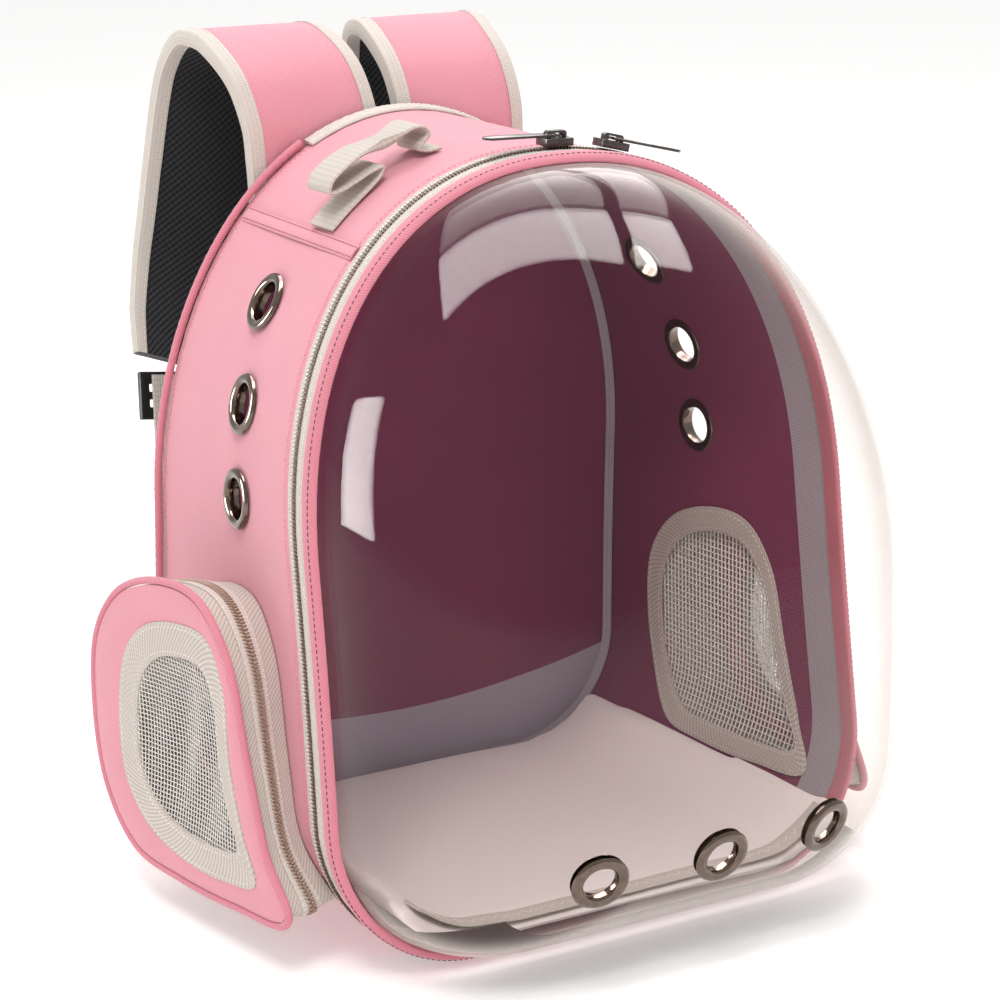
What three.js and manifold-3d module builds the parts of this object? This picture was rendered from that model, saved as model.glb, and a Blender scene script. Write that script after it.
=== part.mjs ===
// Bubble pet carrier backpack: an arched fabric body with a clear bubble front, two side pockets,
// a carry handle and two shoulder straps. Millimetres, +Z up, the bubble faces -Y.
// The origin is on the floor under the middle of the body.
import * as THREE from 'three';
import { mergeVertices } from 'three/addons/utils/BufferGeometryUtils.js';
import Module from 'manifold-3d';

const wasm = await Module();
wasm.setup();

// Driving sizes of the body
const bodyDepth = 246.6;        // rim plane to back plane, at the floor
const rimLean = 0.136;          // how far the rim plane leans back, mm for each mm of height
const backLean = 0.0495;        // how far the back plane leans forward
const soleProud = 3;            // stiff sole under the floor of the shell
const front = { half: 159, base: 161, height: 393.5, spring: 205.2, corner: 75.8, square: 2.207 };
const rearLess = { half: 14, base: 14, height: -4.5, spring: 7.4, corner: 4, square: 0.197 };
const rear = Object.fromEntries(Object.entries(front).map(([key, size]) => [key, size - rearLess[key]]));
const shellWall = 2.2;
const liningWall = 1.1;
const liningGap = 0.7;          // the lining hangs a little inside the shell
const backPanelDepth = 7;       // padded panel, inside the shell's rear edge
const backPanelProud = 4;       // and how far it stands out behind it
const backLiningDepth = 1.2;
const pipingRadius = 2.2;
const cornerPiping = 4.4;       // legs of the grey corner binding
const topSeamSpan = 0.42;       // of the arch's outline place, either side of the top
const rimTapeWall = 1.2;
const eyeletSeat = 1.3;         // room between a flange and its curved wall
const bubbleEyeletSeat = 1.9;
const clearance = 0.35;         // air kept between neighbouring pieces
const steps = { bottom: 1, corner: 4, side: 2, arch: 9 };

// Front edge, seen from the rim plane backwards
const ringDepth = 9.2;
const ringInset = 4;            // the pink ring covers this much of the bubble's flange
const ringProud = 1.2;
const tapeDepth = 17.6;
const tapeWall = 1.4;
const coilSetback = 19.7;       // coil line behind the rim plane
const coilWidth = 5.4;
const coilProud = 1.5;
const zipOnBand = { from: 0.3, middle: 0.5, to: 0.7 };

// Bubble
const bubbleReach = 96;         // forward of the rim plane
const bubbleWall = 2;
const bubbleCentre = 66;        // height that its curves run out from
const bubbleBoxy = 2.51;        // squareness of its low sides
const bubbleRound = 1.985;      // and of its top
const bubbleTilt = { low: 0.359, high: 0.171 };   // more reach with height
const bubbleFloorRise = 13.5;   // its floor rises towards the front
const bubbleFlange = 7;
const bubbleRings = [0, 0.36, 0.6, 0.77, 0.88, 0.945, 0.985, 1];

// Eyelets
const eyeletOuter = 15;
const eyeletBore = 8.6;
const eyeletBarrel = 12.2;
const eyeletFlange = 1.5;
const eyeletSides = 12;
const holeRadius = eyeletBarrel + 0.9;
const sideEyelets = [{ y: 18, z: 320.6 }, { y: 6.3, z: 271.8 }, { y: 1.6, z: 224.1 }];
const rightEyeletShift = { y: 22, z: -5 };      // the photo's right row sits further back
const bubbleEyelets = { x: [-63.5, 4.5, 72.5], z: 57 };   // z before the floor's rise

// Side pockets, each a D with its pointed corner low at the front
const pocketWidth = 173;
const pocketHeight = 158;
const pocketFront = -96;        // y of the pointed corner
const pocketBottom = 27;
const pocketStandFront = 19;    // the panel stands off the widest part of the body
const pocketStandRear = 43;
const pocketPanelWall = 2;
const pocketBandWall = 1.6;
const pocketFootShare = 0.94;   // the band meets the body on a slightly smaller D
const pocketPiping = 2;
const windowBindingWall = 1.2;
const netWall = 1.2;
const windowNetShare = 0.76;    // open net inside the binding of the pocket window
const wallWindowShare = 0.8;    // window through the body wall behind the pocket
const wallBindingShare = { out: 0.9, in: 0.74 };

// Floor mat
const matThick = 9;
const matFrontLift = 5.5;
const matFrontRun = 17;         // reaches into the bubble
const matBackGap = 20;
const matSpan = 1.62;           // runs a little way up the rounded corners

// Straps and handle
const strapWidth = 80;
const strapThick = 10;
const strapRootX = 46;
const strapTop = 440;
const strapTip = 258;
const strapTipGap = 6.4;
const strapSplay = 55;
const strapSway = -9;           // both straps lie over towards the left
const strapStandoff = 86;
const webbingWidth = 25;
const webbingWall = 1.8;
const webbingFootX = 133;
const webbingFootZ = 72;
const adjuster = { width: 38, height: 27, thick: 4.6, bar: 4.2, slot: 4.6 };
const handleWidth = 25;
const handleSeamX = 106;
const handleY = 2;
const handleRise = 30;

// Zip slider and its pull
const sliderX = { left: 7, right: 40 };
const slider = { length: 16, width: 10.5, height: 4, bridge: 3.2, bridgeLength: 12, arch: 3.6, post: 3 };
const pull = { length: 42, width: 8.4, thick: 1.4, eye: 6.8, bar: 1.2 };

const TAU = Math.PI * 2;
const vec = (x, y, z) => new THREE.Vector3(x, y, z);
const pack = new THREE.Group();

// Outline of an arch: t runs 0 to 4 up the +X half and 4 to 8 down the -X half
function archPoint(arch, t) {
  const side = t <= 4 ? 1 : -1;
  const u = t <= 4 ? t : 8 - t;
  const flat = arch.base - arch.corner;
  if (u <= 1) return { x: side * flat * u, z: 0 };
  const turn = (Math.min(u, 2) - 1) * Math.PI / 2;
  if (u <= 2) {
    return { x: side * (flat + arch.corner * Math.sin(turn)), z: arch.corner * (1 - Math.cos(turn)) };
  }
  if (u <= 3) {
    const ease = Math.sin((u - 2) * Math.PI / 2);
    return {
      x: side * (arch.base + (arch.half - arch.base) * ease),
      z: arch.corner + (arch.spring - arch.corner) * (u - 2),
    };
  }
  const angle = (u - 3) * Math.PI / 2;
  const power = 2 / arch.square;
  return {
    x: side * arch.half * Math.max(0, Math.cos(angle)) ** power,
    z: arch.spring + (arch.height - arch.spring) * Math.sin(angle) ** power,
  };
}

const rimY = (z) => -bodyDepth / 2 + rimLean * z;
const backY = (z) => bodyDepth / 2 - backLean * z;
const fromRim = (distance) => () => distance;
const fromBack = (distance) => (length) => length - distance;

// A point on the body at outline place t, a station along its depth, and a distance out of its skin
function bodyPoint(t, station, out) {
  const at = (place) => {
    const wrapped = (place + 8) % 8;
    const a = archPoint(front, wrapped);
    const b = archPoint(rear, wrapped);
    const length = backY(b.z) - rimY(a.z);
    const share = station(length) / length;
    return vec(a.x, rimY(a.z), a.z).lerp(vec(b.x, backY(b.z), b.z), share);
  };
  const before = at(t - 0.02);
  const after = at(t + 0.02);
  const normal = vec(after.z - before.z, 0, before.x - after.x).normalize();
  return at(t).addScaledVector(normal, out).add(vec(0, 0, soleProud));
}

function loopPlaces() {
  const half = [0];
  const add = (from, count) => {
    for (let i = 1; i <= count; i++) half.push(from + i / count);
  };
  add(0, steps.bottom);
  add(1, steps.corner);
  add(2, steps.side);
  add(3, steps.arch);
  const mirrored = half.slice(1, -1).reverse().map((t) => 8 - t);
  return [...half, ...mirrored];
}
const places = loopPlaces();

// The skin at outline place t and a real y, found along the body's straight run
function skinAt(t, y, out = 0) {
  const point = (place) => {
    const a = archPoint(front, place);
    const b = archPoint(rear, place);
    const share = (y - rimY(a.z)) / (backY(b.z) - rimY(a.z));
    return vec(a.x, rimY(a.z), a.z).lerp(vec(b.x, backY(b.z), b.z), share).add(vec(0, 0, soleProud));
  };
  const here = point(t);
  const along = point(Math.min(t + 0.02, 7.99)).sub(point(t - 0.02));
  const length = backY(archPoint(rear, t).z) - rimY(archPoint(front, t).z);
  const start = bodyPoint(t, fromRim(0), 0);
  const run = bodyPoint(t, fromRim(length), 0).sub(start);
  const normal = along.clone().cross(run).normalize();
  if (normal.dot(vec(here.x, 0, here.z - front.spring)) < 0) normal.negate();
  return { point: here.addScaledVector(normal, out), normal };
}

function solve(value, low, high, target) {
  const rising = value(high) > value(low);
  let a = low;
  let b = high;
  for (let i = 0; i < 40; i++) {
    const mid = (a + b) / 2;
    if ((value(mid) < target) === rising) a = mid;
    else b = mid;
  }
  return (a + b) / 2;
}

// Side wall at a height, and top of the arch at a distance from the middle
function sideAt(side, y, z, out = 0) {
  const t = solve((u) => skinAt(u, y).point.z, 1, 3.98, z);
  const found = skinAt(t, y, out);
  return side > 0 ? found : mirror(found);
}
function topAt(x, y, out = 0) {
  const t = solve((u) => skinAt(u, y).point.x, 2.6, 5.4, x);
  return skinAt(t, y, out);
}
function mirror(frame) {
  return { point: frame.point.clone().setX(-frame.point.x), normal: frame.normal.clone().setX(-frame.normal.x) };
}

// Closed solids from points
function volume(position, index) {
  const a = vec();
  const b = vec();
  const c = vec();
  let sum = 0;
  for (let i = 0; i < index.length; i += 3) {
    a.fromArray(position, index[i] * 3);
    b.fromArray(position, index[i + 1] * 3);
    c.fromArray(position, index[i + 2] * 3);
    sum += a.dot(b.clone().cross(c));
  }
  return sum;
}

function solid(points, faces) {
  const position = points.flatMap((p) => [p.x, p.y, p.z]);
  const outward = volume(position, faces.flat()) > 0;
  const index = faces.flatMap((f) => (outward ? f : [f[0], f[2], f[1]]));
  const geometry = new THREE.BufferGeometry();
  geometry.setAttribute('position', new THREE.Float32BufferAttribute(position, 3));
  geometry.setIndex(index);
  return geometry;
}

// Joins sections of equal count: a ring when closed, otherwise capped at both ends
function loft(sections, closed) {
  const count = sections[0].length;
  const points = sections.flat();
  const faces = [];
  const rows = closed ? sections.length : sections.length - 1;
  for (let i = 0; i < rows; i++) {
    const here = i * count;
    const next = ((i + 1) % sections.length) * count;
    for (let j = 0; j < count; j++) {
      const k = (j + 1) % count;
      faces.push([here + j, next + j, next + k], [here + j, next + k, here + k]);
    }
  }
  if (!closed) {
    const last = (sections.length - 1) * count;
    for (let j = 1; j < count - 1; j++) {
      faces.push([0, j, j + 1], [last, last + j + 1, last + j]);
    }
  }
  return solid(points, faces);
}

// A band round the body: each corner of its section is a station and a distance out of the skin
const hoop = (section) => loft(places.map((t) => section.map(([station, out]) => bodyPoint(t, station, out))), true);

// Corners of a hoop's section along a long run of the depth, so that each face stays nearly flat
const depthRun = (start, end, out) => [0, 0.5, 1].map((share) => [
  (length) => start(length) + (end(length) - start(length)) * share, out,
]);

function roundSection(centre, radius, sides) {
  return Array.from({ length: sides }, (_, i) => {
    const angle = (i + 0.5) / sides * TAU;
    return [centre(radius * Math.cos(angle)), radius * Math.sin(angle)];
  });
}

// A slab between two depths over an outline with holes, placed by a function of (a, b, depth)
function slab(outline, holes, place, inner, outer) {
  const loops = [turned(outline, true), ...holes.map((hole) => turned(hole, false))];
  const flat = loops.flat();
  const count = flat.length;
  const points = [...flat.map((p) => place(p.x, p.y, outer)), ...flat.map((p) => place(p.x, p.y, inner))];
  const faces = [];
  for (const [a, b, c] of THREE.ShapeUtils.triangulateShape(loops[0], loops.slice(1))) {
    faces.push([a, b, c], [a + count, c + count, b + count]);
  }
  let start = 0;
  for (const loop of loops) {
    loop.forEach((_, i) => {
      const a = start + i;
      const b = start + (i + 1) % loop.length;
      faces.push([a, a + count, b + count], [a, b + count, b]);
    });
    start += loop.length;
  }
  return solid(points, faces);
}

function turned(loop, counterClockwise) {
  const isCounter = THREE.ShapeUtils.area(loop) > 0;
  return isCounter === counterClockwise ? loop : [...loop].reverse();
}

const plainSlab = (outline, holes, depth) => slab(outline, holes, (a, b, c) => vec(a, b, c), 0, depth);

const rectangle = (x0, x1, y0, y1) => [[x0, y0], [x1, y0], [x1, y1], [x0, y1]]
  .map(([x, y]) => new THREE.Vector2(x, y));

// Booleans
function toManifold(geometry) {
  const bare = geometry.clone();
  bare.deleteAttribute('normal');
  bare.deleteAttribute('uv');
  const merged = mergeVertices(bare, 1e-4);
  return new wasm.Manifold(new wasm.Mesh({
    numProp: 3,
    vertProperties: new Float32Array(merged.attributes.position.array),
    triVerts: new Uint32Array(merged.index.array),
  }));
}
function fromManifold(body) {
  const mesh = body.getMesh();
  const geometry = new THREE.BufferGeometry();
  geometry.setAttribute('position', new THREE.BufferAttribute(new Float32Array(mesh.vertProperties), 3));
  geometry.setIndex(new THREE.BufferAttribute(new Uint32Array(mesh.triVerts), 1));
  return geometry;
}
function cut(geometry, tools) {
  return fromManifold(tools.reduce((body, tool) => body.subtract(toManifold(tool)), toManifold(geometry)));
}
const fuse = (geometries) => fromManifold(geometries.map(toManifold).reduce((a, b) => a.add(b)));
const common = (a, b) => fromManifold(toManifold(a).intersect(toManifold(b)));

function flipped(geometry) {
  const copy = geometry.clone().toNonIndexed();
  copy.deleteAttribute('normal');
  const merged = mergeVertices(copy, 1e-5);
  const p = merged.attributes.position.array;
  const points = [];
  for (let i = 0; i < p.length; i += 3) points.push(vec(-p[i], p[i + 1], p[i + 2]));
  const faces = [];
  for (let i = 0; i < merged.index.array.length; i += 3) faces.push([...merged.index.array.slice(i, i + 3)]);
  return solid(points, faces);
}

// Finishes
const finish = (color, roughness, metalness = 0, more = {}) => () =>
  new THREE.MeshStandardMaterial({ color, roughness, metalness, ...more });
const pinkTwill = finish(0xe58a9b, 0.85);
const beigeWebbing = finish(0xcdc4bc, 0.85);
const beigeTape = finish(0xc9beb2, 0.85);
const zipCoil = finish(0x8c7a6c, 0.5);
const blackMesh = finish(0x2a2a2c, 0.9);
const clearSheet = finish(0xf4f7f8, 0.06, 0, { transparent: true, opacity: 0.25 });
const plumLining = finish(0x5f2a40, 0.8);
const greyBinding = finish(0x7d7478, 0.85);
const whiteNet = finish(0xd6d2cc, 0.8);
const matCloth = finish(0xdccdca, 0.9);
const gunmetal = finish(0x6a5a50, 0.3, 0.9);
const darkMetal = finish(0x4a4644, 0.35, 0.9);
const blackPlastic = finish(0x1c1c1e, 0.5);

function add(name, geometry, material, parent = pack) {
  const mesh = new THREE.Mesh(geometry, material());
  mesh.name = name;
  parent.add(mesh);
  return mesh;
}

// Turns +Z to a direction at a place, for round tools and eyelets
function aim(geometry, point, normal) {
  const turn = new THREE.Quaternion().setFromUnitVectors(vec(0, 0, 1), normal);
  geometry.applyQuaternion(turn);
  geometry.translate(point.x, point.y, point.z);
  return geometry;
}
function drill(frame) {
  const tool = new THREE.CylinderGeometry(holeRadius, holeRadius, 40, eyeletSides);
  tool.rotateX(Math.PI / 2);
  return aim(tool, frame.point, frame.normal);
}

// One eyelet clamps a wall: barrel through the hole, a flange on each face
function eyeletSolid(wall, seat) {
  const face = wall / 2 + seat;
  const rim = face + eyeletFlange;
  const profile = [
    [eyeletBore, -rim], [eyeletOuter, -rim], [eyeletOuter, -face], [eyeletBarrel, -face],
    [eyeletBarrel, face], [eyeletOuter, face], [eyeletOuter - 1, rim], [eyeletBore, rim], [eyeletBore, -rim],
  ].map(([x, y]) => new THREE.Vector2(x, y));
  const ring = new THREE.LatheGeometry(profile, eyeletSides);
  ring.deleteAttribute('normal');
  ring.deleteAttribute('uv');
  const welded = mergeVertices(ring, 1e-4);
  welded.rotateX(Math.PI / 2);
  return welded;
}

// Frames of the eyelets in the side walls: middle of the wall and its normal
const wallStack = shellWall + liningGap + liningWall;
function sideEyeletFrame(side, { y, z }) {
  const frame = sideAt(side, y, z);
  return { point: frame.point.addScaledVector(frame.normal, -wallStack / 2), normal: frame.normal };
}
const rightEyelets = sideEyelets.map(({ y, z }) => ({ y: y + rightEyeletShift.y, z: z + rightEyeletShift.z }));
const sideFrames = [
  ...sideEyelets.map((place, i) => ({ name: `eyelet_left_${i + 1}`, frame: sideEyeletFrame(-1, place) })),
  ...rightEyelets.map((place, i) => ({ name: `eyelet_right_${i + 1}`, frame: sideEyeletFrame(1, place) })),
];

// The D of the pockets, as shares of the pocket's width back from its corner and of its height
const pocketShape = [
  { back: 0.0, up: 0.05 }, { back: 0.25, up: 0.01 }, { back: 0.55, up: 0.0 }, { back: 0.8, up: 0.03 },
  { back: 0.95, up: 0.2 }, { back: 1.0, up: 0.48 }, { back: 0.97, up: 0.72 }, { back: 0.83, up: 0.9 },
  { back: 0.58, up: 0.99 }, { back: 0.4, up: 0.97 }, { back: 0.27, up: 0.82 }, { back: 0.19, up: 0.52 },
  { back: 0.1, up: 0.22 },
];
const windowShape = [
  { back: 0.145, up: 0.125 }, { back: 0.28, up: 0.085 }, { back: 0.51, up: 0.08 }, { back: 0.71, up: 0.14 },
  { back: 0.82, up: 0.27 }, { back: 0.84, up: 0.52 }, { back: 0.79, up: 0.71 }, { back: 0.68, up: 0.82 },
  { back: 0.49, up: 0.875 }, { back: 0.35, up: 0.86 }, { back: 0.275, up: 0.72 }, { back: 0.255, up: 0.48 },
  { back: 0.2, up: 0.27 },
];
const pocketPoints = 24;
function pocketLoop(shape) {
  const curve = new THREE.CatmullRomCurve3(
    shape.map((p) => vec(pocketFront + p.back * pocketWidth, pocketBottom + p.up * pocketHeight, 0)),
    true, 'centripetal',
  );
  return curve.getSpacedPoints(pocketPoints).slice(0, -1).map((p) => new THREE.Vector2(p.x, p.y));
}
const pocketD = pocketLoop(pocketShape);
const windowD = pocketLoop(windowShape);

function middle(loop) {
  const sum = loop.reduce((total, p) => total.add(p), new THREE.Vector2());
  return sum.divideScalar(loop.length);
}
function shrunk(loop, share) {
  const centre = middle(loop);
  return loop.map((p) => centre.clone().lerp(p, share));
}
function loopNormal(loop, i) {
  const before = loop[(i + loop.length - 1) % loop.length];
  const after = loop[(i + 1) % loop.length];
  const normal = new THREE.Vector2(after.y - before.y, before.x - after.x).normalize();
  return THREE.ShapeUtils.area(loop) > 0 ? normal : normal.negate();
}
const grown = (loop, distance) => loop.map((p, i) => p.clone().addScaledVector(loopNormal(loop, i), distance));

// Places a point of the pocket panel's splayed plane on the +X side
function onPanel(y, z, depth) {
  const share = (y - pocketFront) / pocketWidth;
  const stand = pocketStandFront + (pocketStandRear - pocketStandFront) * share;
  return vec(front.half + stand + depth, y, z);
}

function wallPrism(loop) {
  return slab(loop, [], (a, b, c) => vec(c, a, b), front.half - 70, front.half + 20);
}

const wallWindow = shrunk(pocketD, wallWindowShare);
const windowTools = [wallPrism(wallWindow), flipped(wallPrism(wallWindow))];
const wallTools = [...sideFrames.map(({ frame }) => drill(frame)), ...windowTools];

// Pink shell of sides, top and floor, with its stiff sole
const tapeStart = ringDepth + clearance;
const tapeEnd = tapeStart + tapeDepth;
const shellStart = tapeEnd + clearance;
function makeShell() {
  const band = hoop([
    ...depthRun(fromRim(shellStart), fromBack(0), 0),
    ...depthRun(fromBack(0), fromRim(shellStart), -shellWall),
  ]);
  const soleHalf = front.base - front.corner;
  const soleFront = rimY(0) + shellStart + 6;
  const soleBack = backY(0) - 8;
  const sole = slab(rectangle(-soleHalf, soleHalf, soleFront, soleBack), [],
    (a, b, c) => vec(a, b, c), 0, soleProud + shellWall / 2);
  return fuse([cut(band, wallTools), sole]);
}
add('body_shell', makeShell(), pinkTwill);

// Plum lining of the walls
const liningOut = -shellWall - liningGap;
const liningIn = liningOut - liningWall;
const liningStart = shellStart + 6;
const backInside = backPanelDepth + clearance + backLiningDepth;
add('wall_lining', cut(hoop([
  ...depthRun(fromRim(liningStart), fromBack(backInside + clearance), liningOut),
  ...depthRun(fromBack(backInside + clearance), fromRim(liningStart), liningIn),
]), wallTools), plumLining);

// Padded back panel inside the shell's rear edge, and the plum lining in front of it
function backPlate(inner, outer, inset) {
  const loop = places.map((t) => {
    const p = bodyPoint(t, fromBack(0), -inset);
    return new THREE.Vector2(p.x, p.z);
  });
  return slab(loop, [], (x, z, depth) => vec(x, backY(z - soleProud) + depth, z), inner, outer);
}
const plateInset = shellWall + 2 * clearance;
add('back_panel', backPlate(-backPanelDepth, backPanelProud, plateInset), blackMesh);
add('back_lining', backPlate(-backInside, -backPanelDepth - clearance, plateInset), plumLining);

// Piping round the rear edge: pink at the sides and floor, a beige bound seam over the top
const seamStart = 4 - topSeamSpan;
const seamEnd = 4 + topSeamSpan;
const pipingSection = roundSection((d) => fromBack(pipingRadius - 0.6 + d), pipingRadius, 6)
  .map(([station, out]) => [station, out + pipingRadius + 2.5 * clearance]);
function arc(section, from, to, count) {
  const spots = Array.from({ length: count + 1 }, (_, i) => (from + (to - from) * i / count + 8) % 8);
  return loft(spots.map((t) => section.map(([station, out]) => bodyPoint(t, station, out))), false);
}
const pipingStop = 1.3;            // it ends where the corners come down to the floor
const pipingGap = 0.012;
add('rear_piping_left', arc(pipingSection, seamEnd + pipingGap, 8 - pipingStop, 18), pinkTwill);
add('rear_piping_right', arc(pipingSection, pipingStop, seamStart - pipingGap, 18), pinkTwill);
add('top_seam_binding', arc([
  [fromBack(9), clearance], [fromBack(9), 1.5], [fromBack(3), 2.6], [fromBack(-2), 2.2], [fromBack(-2), clearance],
], seamStart, seamEnd, 14), beigeTape);

// Grey piping in the corner between the wall lining and the back lining
add('corner_binding', hoop([
  [fromBack(backInside + 3 * clearance), liningIn - clearance],
  [fromBack(backInside + 3 * clearance), liningIn - clearance - cornerPiping],
  [fromBack(backInside + cornerPiping), liningIn - clearance],
]), greyBinding);

// Main zipper: woven tape with the coil standing on it, and the grey tape bound inside the rim
add('main_zipper', hoop([
  [fromRim(tapeStart), -tapeWall], [fromRim(tapeStart), 0],
  [fromRim(coilSetback - coilWidth / 2), 0.2], [fromRim(coilSetback - coilWidth / 4), coilProud],
  [fromRim(coilSetback + coilWidth / 4), coilProud], [fromRim(coilSetback + coilWidth / 2), 0.2],
  [fromRim(tapeEnd), 0], [fromRim(tapeEnd), -tapeWall],
]), beigeTape);
const rimTapeOut = -tapeWall - clearance - 0.5;
add('rim_binding', hoop([
  [fromRim(tapeStart), rimTapeOut], [fromRim(shellStart - clearance), rimTapeOut],
  [fromRim(liningStart - clearance), liningOut], [fromRim(liningStart - clearance), liningIn],
  [fromRim(tapeStart), rimTapeOut - rimTapeWall],
]), greyBinding);

// Pink ring that holds the bubble's edge
add('front_ring', hoop([
  [fromRim(-1.5), -ringInset + 0.4], [fromRim(-1.2), -1.2], [fromRim(1.6), ringProud * 0.7],
  [fromRim(5), ringProud], [fromRim(ringDepth - 1), ringProud * 0.6], [fromRim(ringDepth), -0.6],
  [fromRim(ringDepth), -ringInset], [fromRim(0), -ringInset],
]), pinkTwill);

// Bubble: rings between its centre and the rim, then a flange inside the pink ring
const bubbleRim = (t, inset) => bodyPoint(t, fromRim(0), -ringInset - clearance - inset);
function bubbleAt(x, z, share, inset) {
  const climb = THREE.MathUtils.smoothstep(z, bubbleCentre, front.height);
  const square = THREE.MathUtils.lerp(bubbleBoxy, bubbleRound, climb);
  const tilt = THREE.MathUtils.lerp(bubbleTilt.low, bubbleTilt.high, climb);
  const swell = Math.max(0, 1 - share ** square) ** (1 / square);
  const reach = (bubbleReach - inset + tilt * (z - bubbleCentre)) * swell;
  return vec(x, rimY(z) - reach, z + bubbleFloorRise * (1 - z / front.height) * swell);
}
function bubblePoint(t, share, inset) {
  const rim = bubbleRim(t, inset);
  return bubbleAt(rim.x * share, bubbleCentre + (rim.z - bubbleCentre) * share, share, inset);
}
function makeBubble() {
  const outer = bubbleRings.slice(1).map((share) => places.map((t) => bubblePoint(t, share, 0)));
  const inner = bubbleRings.slice(1).map((share) => places.map((t) => bubblePoint(t, share, bubbleWall)));
  const flange = (inset) => places.map((t) => bodyPoint(t, fromRim(bubbleFlange), -ringInset - clearance - inset));
  const rings = [...outer, flange(0), flange(bubbleWall), ...inner.reverse()];
  const count = places.length;
  const points = rings.flat();
  const faces = [];
  for (let i = 0; i < rings.length - 1; i++) {
    for (let j = 0; j < count; j++) {
      const k = (j + 1) % count;
      const a = i * count;
      const b = a + count;
      faces.push([a + j, b + j, b + k], [a + j, b + k, a + k]);
    }
  }
  const tip = points.length;
  points.push(bubblePoint(0, 0, 0), bubblePoint(0, 0, bubbleWall));
  const last = (rings.length - 1) * count;
  for (let j = 0; j < count; j++) {
    const k = (j + 1) % count;
    faces.push([tip, j, k], [tip + 1, last + k, last + j]);
  }
  return solid(points, faces);
}

// Where the bubble is met at a given x and height
function bubbleFrame(x, z) {
  const bearing = (p) => Math.atan2(p.x, bubbleCentre - p.z);
  const onWall = (a, b) => {
    const wanted = bearing(vec(a, 0, b));
    const u = solve((place) => bearing(bubbleRim(place, 0)), 0.001, 3.999, Math.abs(wanted));
    const rim = bubbleRim(u, 0);
    const share = Math.hypot(a, b - bubbleCentre) / Math.hypot(rim.x, rim.z - bubbleCentre);
    return bubbleAt(a, b, share, 0);
  };
  const rightward = onWall(x + 1, z).sub(onWall(x - 1, z));
  const upward = onWall(x, z + 1).sub(onWall(x, z - 1));
  const normal = rightward.cross(upward).normalize();
  if (normal.y > 0) normal.negate();
  return { point: onWall(x, z).addScaledVector(normal, -bubbleWall / 2), normal };
}
const bubbleFrames = bubbleEyelets.x.map((x) => bubbleFrame(x, bubbleEyelets.z));
add('bubble_dome', cut(makeBubble(), bubbleFrames.map(drill)), clearSheet);

bubbleFrames.forEach((frame, i) => {
  add(`bubble_eyelet_${i + 1}`, aim(eyeletSolid(bubbleWall, bubbleEyeletSeat), frame.point, frame.normal), gunmetal);
});
sideFrames.forEach(({ name, frame }) => {
  add(name, aim(eyeletSolid(wallStack, eyeletSeat), frame.point, frame.normal), gunmetal);
});

// Floor mat, bent up at the rounded corners
function makeMat() {
  const bottom = -shellWall - clearance * 2 - liningWall - rimTapeWall - 2;
  const count = 16;
  const sections = Array.from({ length: count + 1 }, (_, i) => {
    const t = (matSpan * (2 * i / count - 1) + 8) % 8;
    const frontRun = fromRim(-matFrontRun);
    const back = fromBack(matBackGap);
    const frontOut = bottom - matFrontLift;
    return [
      bodyPoint(t, frontRun, frontOut), bodyPoint(t, back, bottom),
      bodyPoint(t, back, bottom - matThick), bodyPoint(t, frontRun, frontOut - matThick + 2),
    ];
  });
  return loft(sections, false);
}
add('floor_mat', makeMat(), matCloth);

// Side pockets, built on the +X side and mirrored
const bandLoop = (share) => shrunk(pocketD, share);
const bodyFoot = (p) => sideAt(1, p.x, p.y, 1.8 * clearance).point;
function bandSection(i) {
  const outerFoot = bodyFoot(bandLoop(pocketFootShare)[i]);
  const innerFoot = bodyFoot(grown(bandLoop(pocketFootShare), -pocketBandWall)[i]);
  const outerEdge = onPanel(pocketD[i].x, pocketD[i].y, -clearance);
  const inside = grown(pocketD, -pocketBandWall)[i];
  const innerEdge = onPanel(inside.x, inside.y, -clearance);
  return [outerFoot, outerEdge, innerEdge, innerFoot];
}
function makePocketBand() {
  return loft(pocketD.map((_, i) => bandSection(i)), true);
}
function makePocketZip() {
  const normals = pocketD.map((_, i) => loopNormal(pocketD, i));
  return loft(pocketD.map((_, i) => {
    const [foot, edge] = bandSection(i);
    const out = vec(0, normals[i].x, normals[i].y);
    const at = (share, lift) => edge.clone().lerp(foot, share).addScaledVector(out, lift);
    return [
      at(zipOnBand.from, clearance), at(zipOnBand.from, clearance + 0.9), at(zipOnBand.middle, clearance + coilProud),
      at(zipOnBand.to, clearance + 0.9), at(zipOnBand.to, clearance),
    ];
  }), true);
}
function makePocketPiping() {
  const centre = grown(pocketD, pocketPiping + clearance);
  return loft(pocketD.map((_, i) => {
    const normal = loopNormal(pocketD, i);
    return Array.from({ length: 5 }, (_, k) => {
      const angle = k / 5 * TAU;
      const away = pocketPiping * Math.cos(angle);
      const p = centre[i].clone().addScaledVector(normal, away);
      return onPanel(p.x, p.y, pocketPanelWall / 2 + pocketPiping * Math.sin(angle));
    });
  }), true);
}
const netD = shrunk(windowD, windowNetShare);
const innerNetD = shrunk(pocketD, wallWindowShare - 0.01);
function wallPatch(loop, outerOut, innerOut) {
  const skin = hoop([
    ...depthRun(fromRim(shellStart), fromBack(backInside), outerOut),
    ...depthRun(fromBack(backInside), fromRim(shellStart), innerOut),
  ]);
  return common(skin, wallPrism(loop));
}
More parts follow.
